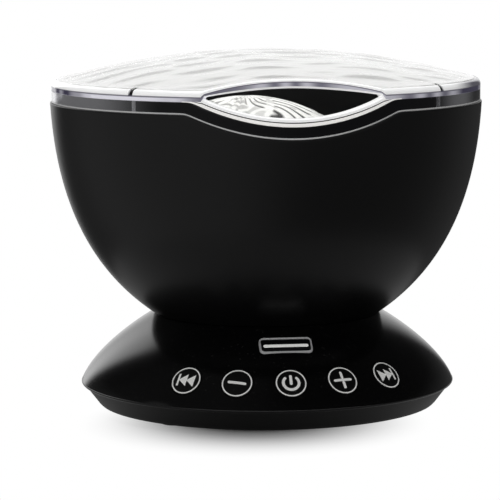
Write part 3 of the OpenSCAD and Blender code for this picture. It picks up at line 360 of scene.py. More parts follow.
def gridMesh(points, wrapRows=False, wrapColumns=True, rowSlots=None):
    # points (rows, columns, xyz); lines that shrink to a point close the ends
    rows, columns = points.shape[:2]
    slots = None
    if rowSlots is not None:
        perRow = columns if wrapColumns else columns - 1
        slots = np.broadcast_to(np.reshape(rowSlots, (len(rowSlots), -1)), (len(rowSlots), perRow)).ravel()
    return buildMesh(points, gridFaces(rows, columns, wrapRows, wrapColumns), slots)


def joinArrays(parts):
    # several (points, faces) sets as one
    shift = np.cumsum([0] + [len(p) for p, f in parts[:-1]])
    return np.concatenate([p for p, f in parts]), np.concatenate([f + s for (p, f), s in zip(parts, shift)])


def readMesh(items, label, width=3, kind=float):
    values = np.empty(len(items) * width, kind)
    items.foreach_get(label, values)
    return values.reshape(-1, width)


def addPiece(name, mesh, finishNames, body, slotName, *nodes, crease=35):
    mesh.name = name
    piece = newObject(name, mesh)
    for finishName in finishNames:
        mesh.materials.append(finishes[finishName])
    mesh.shade_smooth()
    mesh.set_sharp_from_angle(angle=math.radians(crease))
    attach(piece, body)
    if nodes:
        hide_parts(*nodes)
    return piece


def setPaintedShade(mesh, creaseAt):
    # the crease value of every vertex, worked out from its place: how much painted shade the vertex takes
    values = creaseAt(*readMesh(mesh.vertices, "co").T / mm)
    mesh.attributes.new("crease", "FLOAT", "POINT").data.foreach_set("value", np.clip(values, 0, 1))
    return mesh


def sideCurve(low, high, shape, steps=200):
    # cubic curve of (radius, height) that leaves its lower end and meets its upper one along given directions
    low, high = np.array(low, float), np.array(high, float)
    arm = shape["swell"] * (high[1] - low[1])
    way = lambda a: np.array([math.cos(math.radians(a)), math.sin(math.radians(a))])
    t = np.linspace(0, 1, steps)[:, None]
    inner, outer = low + arm * way(shape["lowTurn"]), high - arm * way(shape["highTurn"])
    return (1 - t) ** 3 * low + 3 * (1 - t) ** 2 * t * inner + 3 * (1 - t) * t ** 2 * outer + t ** 3 * high


def insetCurve(curve, depth):
    # the same curve moved inwards along its normals
    along = np.gradient(curve, axis=0)
    along /= np.linalg.norm(along, axis=1)[:, None]
    return curve - depth * np.stack([along[:, 1], -along[:, 0]], axis=1)


def radiusAt(curve, z):
    return np.interp(z, curve[:, 1], curve[:, 0])


def arcRadius(chord, rise):
    return (chord ** 2 / 4 + rise ** 2) / (2 * rise)


def turnedPoints(radius, height, angle):
    # (rows, columns) of radius and height about the upright axis; angle 0 is the front, -Y
    heights = np.broadcast_to(height, radius.shape)
    return np.stack([radius * np.sin(angle), -radius * np.cos(angle), heights], axis=-1)


def lathe(outline, columns):
    outline = np.asarray(outline, float)
    angle = np.linspace(0, fullTurn, columns, endpoint=False)[None, :]
    radius = np.broadcast_to(outline[:, :1], (len(outline), columns))
    return turnedPoints(radius, outline[:, 1:], angle)


def arcPoints(centre, radius, start, stop, steps):
    a = np.radians(np.linspace(start, stop, steps))
    return np.stack([centre[0] + radius * np.cos(a), centre[1] + radius * np.sin(a)], axis=1)


def arcRows(centreR, centreZ, radius, start, stop, rows):
    # radius and height of a rounded edge, row by row, about a centre that may change from column to column
    a = np.radians(np.linspace(start, stop, rows))[:, None]
    return centreR + radius * np.cos(a), centreZ + radius * np.sin(a)


def circle(radius, steps):
    a = np.linspace(0, fullTurn, steps, endpoint=False)
    return np.stack([radius * np.cos(a), radius * np.sin(a)], axis=1)


def roundedRect(width, height, radius, perCorner):
    # four quarter circles, joined by the straight sides between them
    a = np.radians(np.linspace(0, 90, perCorner)[None, :] + np.array([[0], [90], [180], [270]]))
    sx, sy = np.array([[1], [-1], [-1], [1]]), np.array([[1], [1], [-1], [-1]])
    x = sx * (width / 2 - radius) + radius * np.cos(a)
    y = sy * (height / 2 - radius) + radius * np.sin(a)
    return np.stack([x.ravel(), y.ravel()], axis=1)


def atHeight(outline, z):
    return np.column_stack([outline, np.full(len(outline), z)])


def prism(outline, heights):
    # a flat outline drawn through two or more heights, its ends closed at their middles
    middle = np.broadcast_to(outline.mean(axis=0), outline.shape)
    flats = [middle] + [outline] * len(heights) + [middle]
    levels = [heights[0], *heights, heights[-1]]
    points = np.concatenate([atHeight(flat, z) for flat, z in zip(flats, levels)])
    return points, gridFaces(len(flats), len(outline), False, True)


def softMin(a, b, blend):
    # the lower of two heights, with their meeting rounded over
    gap = np.clip((b - a) / blend, -40, 40)
    return a - blend * np.log1p(np.exp(-gap))


def smoothStep(value, low, high):
    # eases from 0 at low to 1 at high, and low may be the greater of the two
    t = np.clip((value - low) / (high - low), 0, 1)
    return t * t * (3 - 2 * t)


# bowl: the side curve turned, its top edge following a level rim with a round dip at the front
bowl = dict(rimR=77.5, rimZ=110.0, neckR=40.5, neckZ=33.5, lowTurn=34, highTurn=87, swell=0.41, wall=2.2,
            floor=2.4, edge=0.35, innerEdge=0.3, dipWidth=72.0, dipDepth=8.2, dipBlend=0.28, dipReach=0.7,
            dipClear=20.0, seat=0.02, columns=512, rows=110, innerRows=40, edgeRows=9, innerEdgeRows=5)
bowlCurve = sideCurve((bowl["neckR"], bowl["neckZ"]), (bowl["rimR"], bowl["rimZ"]), bowl)
bowlInner = insetCurve(bowlCurve, bowl["wall"])
dipR = arcRadius(bowl["dipWidth"], bowl["dipDepth"])
dipAxis = bowl["rimZ"] - bowl["dipDepth"] + dipR


def rimHeight(x, y):
    # level rim, or the underside of a level cylinder at the front, whichever is lower
    level = np.full_like(x, bowl["rimZ"])
    arc = dipAxis - np.sqrt(np.maximum(dipR ** 2 - x ** 2, 0.0))
    arc = np.where(np.abs(x) > bowl["dipReach"] * dipR, level + bowl["dipClear"], arc)
    return np.where(y < 0, softMin(level, arc, bowl["dipBlend"]), level)


def bowlShell(b):
    angle = np.linspace(0, fullTurn, b["columns"], endpoint=False)
    across, ahead = np.sin(angle), -np.cos(angle)
    foot = b["neckZ"] + b["seat"]
    top = rimHeight(b["rimR"] * across, ahead)
    top = rimHeight(radiusAt(bowlCurve, top) * across, ahead)
    end = top - b["edge"]
    outerZ = foot + np.linspace(0, 1, b["rows"])[:, None] * (end - foot)
    outerR = radiusAt(bowlCurve, outerZ)
    edgeR, edgeZ = arcRows(outerR[-1] - b["edge"], end, b["edge"], 0, 90, b["edgeRows"])
    innerR = outerR[-1] - b["wall"]
    innerEnd = rimHeight(innerR * across, ahead) - b["innerEdge"]
    inEdgeR, inEdgeZ = arcRows(innerR + b["innerEdge"], innerEnd, b["innerEdge"], 90, 180, b["innerEdgeRows"])
    floorZ = b["neckZ"] + b["floor"]
    innerZ = floorZ + np.linspace(1, 0, b["innerRows"])[1:, None] * (innerEnd - floorZ)
    flat = np.ones((1, len(angle)))
    radius = np.concatenate([0 * flat, outerR, edgeR[1:], inEdgeR, radiusAt(bowlInner, innerZ), 0 * flat])
    height = np.concatenate([foot * flat, outerZ, edgeZ[1:], inEdgeZ, innerZ, floorZ * flat])
    return gridMesh(turnedPoints(radius, height, angle[None, :]))


addPiece("bowlShell", bowlShell(bowl), ["satinBlack"], "housing", "satin_black", "bowl")
print("bowl done")


# lid: a low crown with ripples, a rounded thick edge behind a fine groove, and an eye-shaped opening in front
lid = dict(radius=77.0, edgeZ=117.6, crown=10.8, thick=2.0, corner=2.2, cornerTurn=75, beadDepth=3.3,
           beadWidth=3.4, lower=0.4, eyeWidth=62.5, eyeDepth=13.4, eyeCorner=0.8, eyeBead=2.9, eyeLower=0.8,
           eyeEndCorner=1.2, eyeEndBead=1.8, eyeEndLower=0.45, eyeEase=4, ripple=0.3, rippleFrom=0.8,
           rippleFade=3.5, groove=0.32, grooveDepth=0.32, grooveHalf=0.2, notchLength=3.5, notchHalf=0.9,
           notchSide=0.06, notchTurns=(44, 136, 224, 316), seam=0.1, eyeColumns=73, rimColumns=331,
           crownRows=76, edgeZone=7.8, bendRows=9, sideRows=9, lowRows=6, ceilingRows=26, milkyRows=5)
crownR = arcRadius(2 * lid["radius"], lid["crown"])
eyeHalf = math.asin(lid["eyeWidth"] / 2 / lid["radius"])
eyeInner = lid["radius"] - lid["eyeDepth"]
eyeR = arcRadius(lid["eyeWidth"], lid["radius"] * math.cos(eyeHalf) - eyeInner)
eyeCentre = eyeInner + eyeR
beadUnder = lid["edgeZ"] - lid["beadDepth"]
notchTurn = math.degrees(lid["notchHalf"] / lid["radius"])


def crownHeight(r):
    return lid["edgeZ"] - (crownR - lid["crown"]) + np.sqrt(crownR ** 2 - r ** 2)


def rippleHeight(x, y):
    # crossing water waves between -1 and 1: each is a sine whose phase is pushed about by another
    waves = (np.sin(0.56 * y + 2.0 * np.sin(0.09 * x + 0.4))
             + np.sin(0.12 * x + 0.40 * y + 1.6 * np.sin(0.13 * y + 1.0))
             + np.sin(0.15 * x - 0.47 * y + 1.8 * np.sin(0.08 * x + 2.0))
             + 0.7 * np.sin(0.95 * y - 0.1 * x + 1.6 * np.sin(0.17 * x)))
    return waves / 3.7


def lidAngles():
    # even columns, one on each corner of the eye, and close pairs at the sides of each notch
    sides = (notchTurn, notchTurn + lid["notchSide"])
    edges = np.array([turn + way * side for turn in lid["notchTurns"] for way in (-1, 1) for side in sides])
    eye = math.degrees(eyeHalf)
    rim = np.linspace(eye, 360 - eye, lid["rimColumns"])[1:-1]
    return np.radians(np.sort(np.concatenate([np.linspace(-eye, eye, lid["eyeColumns"]), rim, edges])))


def inNotch(angle, slack=0.001):
    turn = np.degrees(angle)[:, None]
    near = np.abs((turn - np.array(lid["notchTurns"]) + 180) % 360 - 180).min(axis=1)
    return near <= notchTurn + slack


def insideEye(angle, slack=1e-6):
    return np.abs(angle) < eyeHalf - slack


def crownEdge(angle):
    # the crown's outer radius at each column, and the corner, lower rounding and underside of its edge there
    inEye = insideEye(angle)
    sideways = eyeCentre * np.sin(angle)
    eyeEdge = eyeCentre * np.cos(angle) - np.sqrt(np.maximum(eyeR ** 2 - sideways ** 2, 0))
    outer = np.where(inEye, eyeEdge, lid["radius"])
    endwards = np.clip(np.abs(np.sin(angle)) * lid["radius"] / (lid["eyeWidth"] / 2), 0, 1) ** lid["eyeEase"]
    alongEye = lambda middle, end: lid[middle] + (lid[end] - lid[middle]) * endwards
    corner = np.where(inEye, alongEye("eyeCorner", "eyeEndCorner"), lid["corner"])
    lower = np.where(inEye, alongEye("eyeLower", "eyeEndLower"), lid["lower"])
    under = np.where(inEye, crownHeight(outer) - alongEye("eyeBead", "eyeEndBead"), beadUnder)
    return outer, corner, lower, under


def cornerStart(outer, corner):
    # the radius at which the crown gives way to the rounded corner, and the height of the corner's centre
    turn = math.radians(lid["cornerTurn"])
    start = outer - corner * (1 - math.cos(turn))
    return start, crownHeight(start) - corner * math.sin(turn)


def lidCrown():
    angle = lidAngles()
    rim = ~insideEye(angle)
    outer, corner, lower, under = crownEdge(angle)
    start, cornerZ = cornerStart(outer, corner)
    # rows towards the edge, as distances from the corner's start, close together about groove and notch end
    toEdge = np.array([7, 6, 5.2, 4.32, 4.22, 3.6, 2.9, 2.2, 1.6, 1.15, 0.85, 0.65, 0.52, 0.42, 0.32, 0.22,
                       0.12, 0.04, 0])
    middleR = np.linspace(0, 1, lid["crownRows"])[:, None] * (start - lid["edgeZone"])
    topR = np.concatenate([middleR, start - toEdge[:, None]])
    x, y = topR * np.sin(angle), -topR * np.cos(angle)
    fade = smoothStep(start - topR, lid["rippleFrom"], lid["rippleFrom"] + lid["rippleFade"])
    topZ = crownHeight(topR) + lid["ripple"] * fade * (rippleHeight(x, y) - 1.0)
    topZ -= rim * lid["grooveDepth"] * np.exp(-((start - topR - lid["groove"]) / lid["grooveHalf"]) ** 2)
    bendR, bendZ = arcRows(outer - corner, cornerZ, corner, lid["cornerTurn"], 0, lid["bendRows"])
    flat = np.ones((1, len(angle)))
    sideZ = cornerZ + np.linspace(0, 1, lid["sideRows"])[1:, None] * (under + lower - cornerZ)
    lowR, lowZ = arcRows(outer - lower, under + lower, lower, 0, -90, lid["lowRows"])
    innerR = (outer - lid["beadWidth"]) * flat
    ceiling = np.linspace(1, 0, lid["ceilingRows"])[:, None] * innerR
    cut = inNotch(angle) & rim
    notched = lambda r, z: np.where(cut & (outer - r < lid["notchLength"]), np.minimum(z, cornerZ), z)
    parts = [(topR, notched(topR, topZ)), (bendR[1:], notched(bendR, bendZ)[1:]),
             (outer * np.ones_like(sideZ), sideZ), (lowR[1:], lowZ[1:]), (innerR, under * flat),
             (ceiling, crownHeight(ceiling) - lid["thick"])]
    # clear on top and inside, milky over the corner, lavender on the side and, outside the eye, below it; the
    # lit milky corner and the darker lavender side are painted light and shade on one clear plastic
    top, bends, side, low, inner, roof = (len(r) for r, z in parts)
    milky = lid["milkyRows"]
    slots = np.repeat([0, 1, 2, 1, 0], [top - 1 - milky, milky + bends, side, low + inner, roof])[:, None]
    pastCorner = np.arange(len(slots))[:, None] > top + bends
    slots = np.where(rim & (slots == 1) & pastCorner, 2, slots)
    radius, height = (np.concatenate(p) for p in zip(*parts))
    return gridMesh(turnedPoints(radius, height, angle[None, :]), rowSlots=slots)


# the lid's painted shades: limits in millimetres and degrees, and how far each mark of painted shade darkens
lidShade = dict(step=0.6, slope=(0.08, 0.36), streakInset=(1.0, 4.0), streakPlace=(-50, 40), dashes=23,
                dash=(-0.1, 0.5), grooveHalf=0.3, slack=0.05, sideShadeWaves=31, sideShadeSpread=0.22,
                spreadFrom=(0.2, 0.5), line=0.9, lineDrop=(0.42, 0.2), bend=0.92, bendStart=(48, 64),
                bendEnd=(120, 88), bendInset=(0.9, -0.1), slotSlack=0.02,
                sideShadeTurns=(-180, -95, -64, -58, -38, -27, -24, 24, 30, 47, 54, 80, 180),
                sideShades=(0.5, 0.9, 0.85, 0.1, 0.1, 0.5, 0.62, 0.62, 0.6, 0.66, 0.9, 0.94, 0.5))


def lidPaintedShade(x, y, z):
    # painted shade and reflection: grey streaks on the slopes of the ripples that face the front, broken dark
    # dashes along the groove, a dark bend at the right, and on the side a shade that changes round the rim,
    # with a dark line on top; notches filled dark
    s = lidShade
    angle, r = np.arctan2(x, -y), np.hypot(x, y)
    turn = np.degrees(angle)
    outer, corner, lower, under = crownEdge(angle)
    start, cornerZ = cornerStart(outer, corner)
    inward = start - r
    inEye = insideEye(angle)
    slope = (rippleHeight(x, y + s["step"]) - rippleHeight(x, y - s["step"])) / (2 * s["step"])
    streak = smoothStep(slope, *s["slope"]) * smoothStep(inward, *s["streakInset"])
    streak *= smoothStep(-y, *s["streakPlace"])
    dash = smoothStep(np.sin(s["dashes"] * angle + 2 * np.sin(7 * angle)), *s["dash"]) * ~inEye
    groove = np.exp(-((inward - lid["groove"]) / s["grooveHalf"]) ** 2) * dash
    bend = s["bend"] * smoothStep(turn, *s["bendStart"]) * smoothStep(turn, *s["bendEnd"])
    bend *= smoothStep(inward, *s["bendInset"])
    foot = np.where(inEye, under + lower, under)
    onSide = (r > outer - lower - s["slack"]) & (z < cornerZ + s["slack"]) & (z > foot - s["slack"])
    sideShade = np.interp(turn, s["sideShadeTurns"], s["sideShades"])
    spread = s["sideShadeSpread"] * np.sin(s["sideShadeWaves"] * angle + 3 * np.sin(9 * angle))
    sideShade += spread * smoothStep(sideShade, *s["spreadFrom"])
    line = s["line"] * smoothStep(cornerZ - z, *s["lineDrop"])
    slot = inNotch(angle) & ~inEye & (outer - r < lid["notchLength"]) & (np.abs(z - cornerZ) < s["slotSlack"])
    onTop = np.where(slot, 1.0, np.maximum(np.maximum(streak, groove), bend))
    return np.where(onSide & ~slot, np.maximum(sideShade, line), onTop)


# skirt and lip: a thin clear wall that follows the rim, and the thick edge carried along the dip as a bar
skirt = dict(thick=1.6, glow=0.55, footEdge=0.25, footBend=0.3, clearOf=0.01, rows=8, leftFrom=(-34, -58),
             leftTo=(-140, -100), right=0.75, rightFrom=(40, 52), rightTo=(66, 55))
lip = dict(rise=7.1, height=2.8, width=3.4, round=1.15, line=0.16, lineFrom=1.22, lineTo=1.6, lineSlope=0.06,
           lower=0.3, backEdge=0.3, past=5.0, blend=0.35, below=0.01, sink=0.03, hidden=0.9, columns=129)
lipReach = eyeHalf + math.radians(lip["past"])


def lipTop(angle):
    return dipAxis - np.sqrt((dipR - lip["rise"]) ** 2 - (lid["radius"] * np.sin(angle)) ** 2)


def lipFoot(angle):
    # inside the eye the bar follows the dip; past its corners the foot eases into the thick edge's underside
    near = np.clip(angle, -lipReach, lipReach)
    return softMin(lipTop(near) - lip["height"], np.full_like(angle, beadUnder - lip["below"]), lip["blend"])


def lidSkirt(s):
    angle = lidAngles()
    outer, inner, edge = lid["radius"], lid["radius"] - s["thick"], s["footEdge"]
    foot = rimHeight(outer * np.sin(angle), -outer * np.cos(angle)) + lid["seam"]
    top = lipFoot(np.where(angle > math.pi, angle - fullTurn, angle)) - s["clearOf"]
    # the foot band, up to the height named glow, takes the foot finish and its painted highlight
    low = foot + s["glow"]
    wallZ = low + np.linspace(0, 1, s["rows"])[:, None] * (top - low)
    flat, wall = np.ones((1, len(angle))), np.ones_like(wallZ)
    rows = [(inner * flat, foot * flat), ((outer - edge) * flat, foot * flat),
            ((outer - s["footBend"] * edge) * flat, foot + s["footBend"] * edge * flat),
            (outer * flat, foot + edge * flat), (outer * wall, wallZ), (inner * wall, wallZ[::-1])]
    radius, height = (np.concatenate(p) for p in zip(*rows))
    slots = np.repeat([1, 0], [4, len(radius) - 4])
    return gridMesh(turnedPoints(radius, height, angle[None, :]), wrapRows=True, rowSlots=slots)


def skirtPaintedShade(x, y, z):
    # painted shade and light: dark where the wall is seen square on, paler and clearer towards both sides,
    # standing for the light that runs along inside the wall
    turn = np.degrees(np.arctan2(x, -y))
    leftClear = smoothStep(turn, *skirt["leftFrom"]) * smoothStep(turn, *skirt["leftTo"])
    rightClear = skirt["right"] * smoothStep(turn, *skirt["rightFrom"]) * smoothStep(turn, *skirt["rightTo"])
    return 1 - leftClear - rightClear


def lidLip(p):
    # section points as (inset, drop): rounded top, a fine line cut in the face, a lower band, and the back;
    # the cut line is coloured dark as painted shade and the lower band glows as painted light
    bend = arcPoints((p["round"], p["round"]), p["round"], 270, 180, 7)
    low = arcPoints((p["lower"], p["height"] - p["lower"]), p["lower"], 180, 90, 4)
    face = np.array([[0, p["lineFrom"]], [p["line"], p["lineFrom"] + p["lineSlope"]],
                     [p["line"], p["lineTo"] - p["lineSlope"]], [0, p["lineTo"]]])
    wide, tall, edge = p["width"], p["height"], p["backEdge"]
    back = np.array([[wide - edge, tall], [wide, tall - edge], [wide, edge], [wide - edge, 0]])
    section = np.concatenate([bend, face, low, back])
    slots = np.repeat([0, 1, 2, 0], [len(bend), len(face) - 1, len(low) + 1, len(back)])
    angle = np.linspace(-lipReach, lipReach, p["columns"])
    arc, foot = lipTop(angle), lipFoot(angle)
    top = np.where(np.abs(angle) > eyeHalf, np.minimum(arc, beadUnder + p["hidden"]), arc)
    radius = lid["radius"] - section[:, :1] - p["sink"] * np.ones_like(angle)
    height = top - section[:, 1:] / tall * (top - foot)
    points = turnedPoints(radius, height, angle[None, :])
    ends = [np.broadcast_to(points[:, k].mean(axis=0), (len(section), 1, 3)) for k in (0, -1)]
    closed = np.concatenate([ends[0], points, ends[1]], axis=1)
    return gridMesh(closed, wrapRows=True, wrapColumns=False, rowSlots=slots)


ribs = dict(deep=1.2, wide=0.9, corner=0.25, inset=2.25, overRim=0.15, underEdge=0.02)


def lidRibs(r):
    # upright bars behind the skirt, under the notches: a rounded rectangle drawn from the seam to the edge
    outline = roundedRect(r["deep"], r["wide"], r["corner"], 5)
    height = np.array([bowl["rimZ"] + r["overRim"], beadUnder - r["underEdge"]])
    reach = lid["radius"] - r["inset"] + outline[:, :1]
    parts = []
    for turn in np.radians(lid["notchTurns"]):
        out, side = np.array([math.sin(turn), -math.cos(turn)]), np.array([math.cos(turn), math.sin(turn)])
        parts.append(prism(reach * out + outline[:, 1:] * side, height))
    return buildMesh(*joinArrays(parts))


lidPieces = dict(
    lidCrown=(setPaintedShade(lidCrown(), lidPaintedShade), ["crownClear", "edgeMilkyLit", "edgeLavenderShaded"]),
    lidSkirt=(setPaintedShade(lidSkirt(skirt), skirtPaintedShade), ["skirtClear", "skirtFoot"]),
    lidLip=(lidLip(lip), ["edgeMilkyLit", "lipLine", "lipCream"]),
    lidRibs=(lidRibs(ribs), ["ribClear"]))
for name, (mesh, finishNames) in lidPieces.items():
    addPiece(name, mesh, finishNames, "housing", "lid_clear", "lid")
print("lid done")


# rippled dome: a low dome with its top off the middle, folded all over, on the turning ring
dome = dict(radius=37.75, base=98.1, thick=1.7, flange=1.8, top=111.6, bow=0.0096, offset=6.7,
            offsetTurn=-97.6, blend=0.35, fold=0.45, folds=11, foldFrom=(0.5, 6.0), rimPower=8,
            flangeLeast=0.6, underGap=0.4, columns=400, rows=120)
offsetAngle = math.radians(dome["offsetTurn"])
domeApex = dome["offset"] * np.array([math.sin(offsetAngle), -math.cos(offsetAngle)])


def fromApex(x, y):
    # heading and distance from the apex; heading 0 is to the right, a quarter turn is to the front
    across, ahead = x - domeApex[0], domeApex[1] - y
    return np.arctan2(ahead, across), np.hypot(across, ahead)


def foldPhase(x, y):
    # folds that run down from the apex and wander on the way: a multiple of the heading, pushed by two waves
    heading, away = fromApex(x, y)
    wander = 1.5 * np.sin(0.24 * away + 2 * heading)
    return dome["folds"] * heading + wander + 1.3 * np.sin(0.31 * x + 0.9 * np.sin(0.27 * y))


domeShade = dict(valley=(0.15, 0.65), patch=(-0.7, 0.0), rightHeading=0.35, right=(-0.35, 0.5),
                 strokeFrom=(3.0, 7.0), leftStroke=0.2, spots=(0.12, 0.6), leftSpot=0.62, rightSpot=0.32)


def domePaintedShade(x, y, z):
    # painted shade and reflection: dark in the valleys of the folds, in strokes that fade to the left of the
    # apex, and grey spots all over
    s = domeShade
    heading, away = fromApex(x, y)
    valley = 1 - smoothStep(np.abs(np.sin(foldPhase(x, y))), *s["valley"])
    patch = np.sin(0.34 * away + 1.9 * np.sin(3 * heading) + 1.1 * np.sin(0.4 * x))
    toRight = smoothStep(np.cos(heading - s["rightHeading"]), *s["right"])
    strokes = valley * smoothStep(patch, *s["patch"]) * smoothStep(away, *s["strokeFrom"])
    strokes *= s["leftStroke"] + (1 - s["leftStroke"]) * toRight
    spots = np.sin(0.6 * x + 1.7 * np.sin(0.5 * y)) * np.sin(0.62 * y + 1.5 * np.sin(0.45 * x) + 0.5)
    depth = s["leftSpot"] + (s["rightSpot"] - s["leftSpot"]) * toRight
    return np.maximum(strokes, depth * smoothStep(spots, *s["spots"]))


def domeHeight(x, y, top, flange):
    # a bowl turned over about the apex, rounded off into the level flange
    bowed = top - dome["bow"] * ((x - domeApex[0]) ** 2 + (y - domeApex[1]) ** 2)
    return -softMin(-bowed, np.full_like(bowed, -flange), dome["blend"])


def crinkledDome(d):
    angle = np.linspace(0, fullTurn, d["columns"], endpoint=False)[None, :]
    share = np.linspace(0, 1, d["rows"])[:, None]
    topR = d["radius"] * share * np.ones_like(angle)
    x, y = topR * np.sin(angle), -topR * np.cos(angle)
    folds = (np.abs(np.sin(foldPhase(x, y))) - 1) * d["fold"] * (1 - share ** d["rimPower"])
    folds *= smoothStep(fromApex(x, y)[1], *d["foldFrom"])
    topZ = domeHeight(x, y, d["top"], d["base"] + d["flange"]) + folds
    topZ = np.maximum(topZ, d["base"] + d["flangeLeast"] * d["flange"])
    lowR = topR[::-4] * (d["radius"] - d["underGap"]) / d["radius"]
    lowX, lowY = lowR * np.sin(angle), -lowR * np.cos(angle)
    lowZ = domeHeight(lowX, lowY, d["top"] - d["thick"] - d["fold"], d["base"])
    lowZ[0] = d["base"]
    radius = np.concatenate([topR, lowR])
    radius[-1] = 0
    return gridMesh(turnedPoints(radius, np.concatenate([topZ, lowZ]), angle))


domeMesh = setPaintedShade(crinkledDome(dome), domePaintedShade)
addPiece("crinkledDome", domeMesh, ["domeSilver"], "rotor", "rippled_clear", "ripple_dome", crease=60)
print("dome done")


# base cover: the side curve turned into a shell, then cut for keys, window and the recess of the ports
base = dict(lipR=67.7, lipZ=8.0, lowTurn=108, topR=41.3, topZ=33.5, highTurn=150, swell=0.4, wall=2.2,
            top=2.6, lipEdge=0.7, lipInset=0.95, lipTurn=18, lipRows=10, lipStep=0.08, topEdge=0.35,
            topInset=0.55, boreR=29.8, columns=360, rows=90, innerRows=40, onSide=0.06, facing=0.85,
            lipClear=1.1, sharp=30)
baseCurve = sideCurve((base["lipR"], base["lipZ"]), (base["topR"], base["topZ"]), base)
baseInner = insetCurve(baseCurve, base["wall"])
baseSlope = np.gradient(baseCurve, axis=0)


def baseShell(b):
    edge, bore, top = b["lipEdge"], b["boreR"], b["topZ"]
    lipMiddle, ceiling = b["lipZ"] + edge, top - b["top"]
    lipCentre = (radiusAt(baseCurve, lipMiddle) - edge * b["lipInset"], lipMiddle)
    lipArc = arcPoints(lipCentre, edge, -90, b["lipTurn"], b["lipRows"])
    z = np.linspace(lipArc[-1, 1] + b["lipStep"], top - b["topEdge"], b["rows"])
    side = np.stack([radiusAt(baseCurve, z), z], axis=1)
    roof = np.array([[side[-1, 0] - b["topInset"], top], [bore, top], [bore, ceiling]])
    low = np.linspace(ceiling, b["lipZ"], b["innerRows"])
    inner = np.stack([radiusAt(baseInner, low), low], axis=1)
    return gridMesh(lathe(np.concatenate([lipArc, side, roof, inner]), b["columns"]), wrapRows=True)


def baseFrame(z, turn):
    # origin on the surface at this height, and axes: across, up the slope, outward
    slope = np.array([np.interp(z, baseCurve[:, 1], baseSlope[:, k]) for k in (0, 1)])
    slope /= np.linalg.norm(slope)
    a = math.radians(turn)
    out, side = np.array([math.sin(a), -math.cos(a), 0]), np.array([math.cos(a), math.sin(a), 0])
    up = np.array([0, 0, 1.0])
    normal = slope[1] * out - slope[0] * up
    return radiusAt(baseCurve, z) * out + z * up, np.stack([side, np.cross(normal, side), normal])


def onBase(points, place):
    return place[0] + np.asarray(points) @ place[1]


def combine(piece, points, faces, operation="DIFFERENCE"):
    # cuts a tool out of the piece, or joins or intersects the two
    tool = newObject("tool", buildMesh(points, faces))
    step = piece.modifiers.new("step", "BOOLEAN")
    step.operation, step.object, step.solver = operation, tool, "EXACT"
    bpy.context.view_layer.update()
    result = bpy.data.meshes.new_from_object(piece.evaluated_get(bpy.context.evaluated_depsgraph_get()))
    piece.modifiers.clear()
    piece.data = result
    toolMesh = tool.data
    bpy.data.objects.remove(tool)
    bpy.data.meshes.remove(toolMesh)


keys = dict(height=17.4, pitch=17.2, radius=5.5, gap=0.3, proud=0.3, crownBall=40.0, edge=0.22, back=-3.2,
            flangeR=6.8, flange=1.0, stemR=1.4, stem=1.2, columns=72, crownRows=14, edgeTurn=84, edgeRows=6,
            names=("previous", "minus", "power", "plus", "next"))
window = dict(height=28.5, width=18.4, depth=7.2, corner=1.8, gap=0.15, proud=0.3, frameWidth=0.6, bulge=0.5,
              back=-3.2, footRise=0.05, outerBevel=0.12, innerBevel=0.15, bevelDrop=0.06, crest=0.3,
              innerDrop=0.3, leastCorner=0.5, lensGap=0.02, lensSink=0.04, lensRows=16)
ports = dict(width=48.0, height=8.5, wallY=60.0, floorZ=9.5, wall=2.0, corner=1.2, blockCorner=0.4,
             blockTrim=0.6, blockPast=4.0, blockLift=0.3, blockSkin=0.05, blockColumns=180, cutPast=6.0,
             over=1.0, jackR=3.2, jackZ=13.5, jackColumns=48,
             openings=dict(usb=dict(size=(8.2, 3.4), x=-14.0, z=12.0, corner=1.2),
                           card=dict(size=(12.0, 1.6), x=13.5, z=11.6, corner=0.4)))
keyPlaces = [baseFrame(keys["height"], (i - 2) * keys["pitch"]) for i in range(5)]
windowPlace = baseFrame(window["height"], 0)
through = np.array([-7.0, 4.0])


def facingBack(points, faces):
    # a prism drawn upright is laid so that its length runs along Y
    return points[:, [0, 2, 1]], faces


def portBox(size, x, z, corner, inner, outer):
    return facingBack(*prism(roundedRect(*size, corner, 4) + np.array([x, z]), np.array([inner, outer])))


def portBlock(p):
    # walls round the recess, trimmed to lie inside the turned side
    size = (p["width"] + 2 * p["wall"], p["height"] + 2 * p["wall"] - p["blockTrim"])
    middleZ, inner = p["floorZ"] + p["height"] / 2, p["wallY"] - p["wall"]
    box = portBox(size, 0, middleZ, p["blockCorner"], inner, base["lipR"] + p["blockPast"])
    block = newObject("portBlock", buildMesh(*box))
    foot, columns = base["lipZ"] + p["blockLift"], p["blockColumns"]
    side = baseCurve[baseCurve[:, 1] > foot][::6] - np.array([p["blockSkin"], 0])
    body = np.concatenate([[[0, foot]], side, [[0, side[-1, 1]]]])
    combine(block, lathe(body, columns), gridFaces(len(body), columns, False, True), "INTERSECT")
    points = readMesh(block.data.vertices, "co") / mm
    faces = np.array([list(f.vertices) for f in block.data.polygons], dtype=object)
    bpy.data.objects.remove(block)
    return points, faces


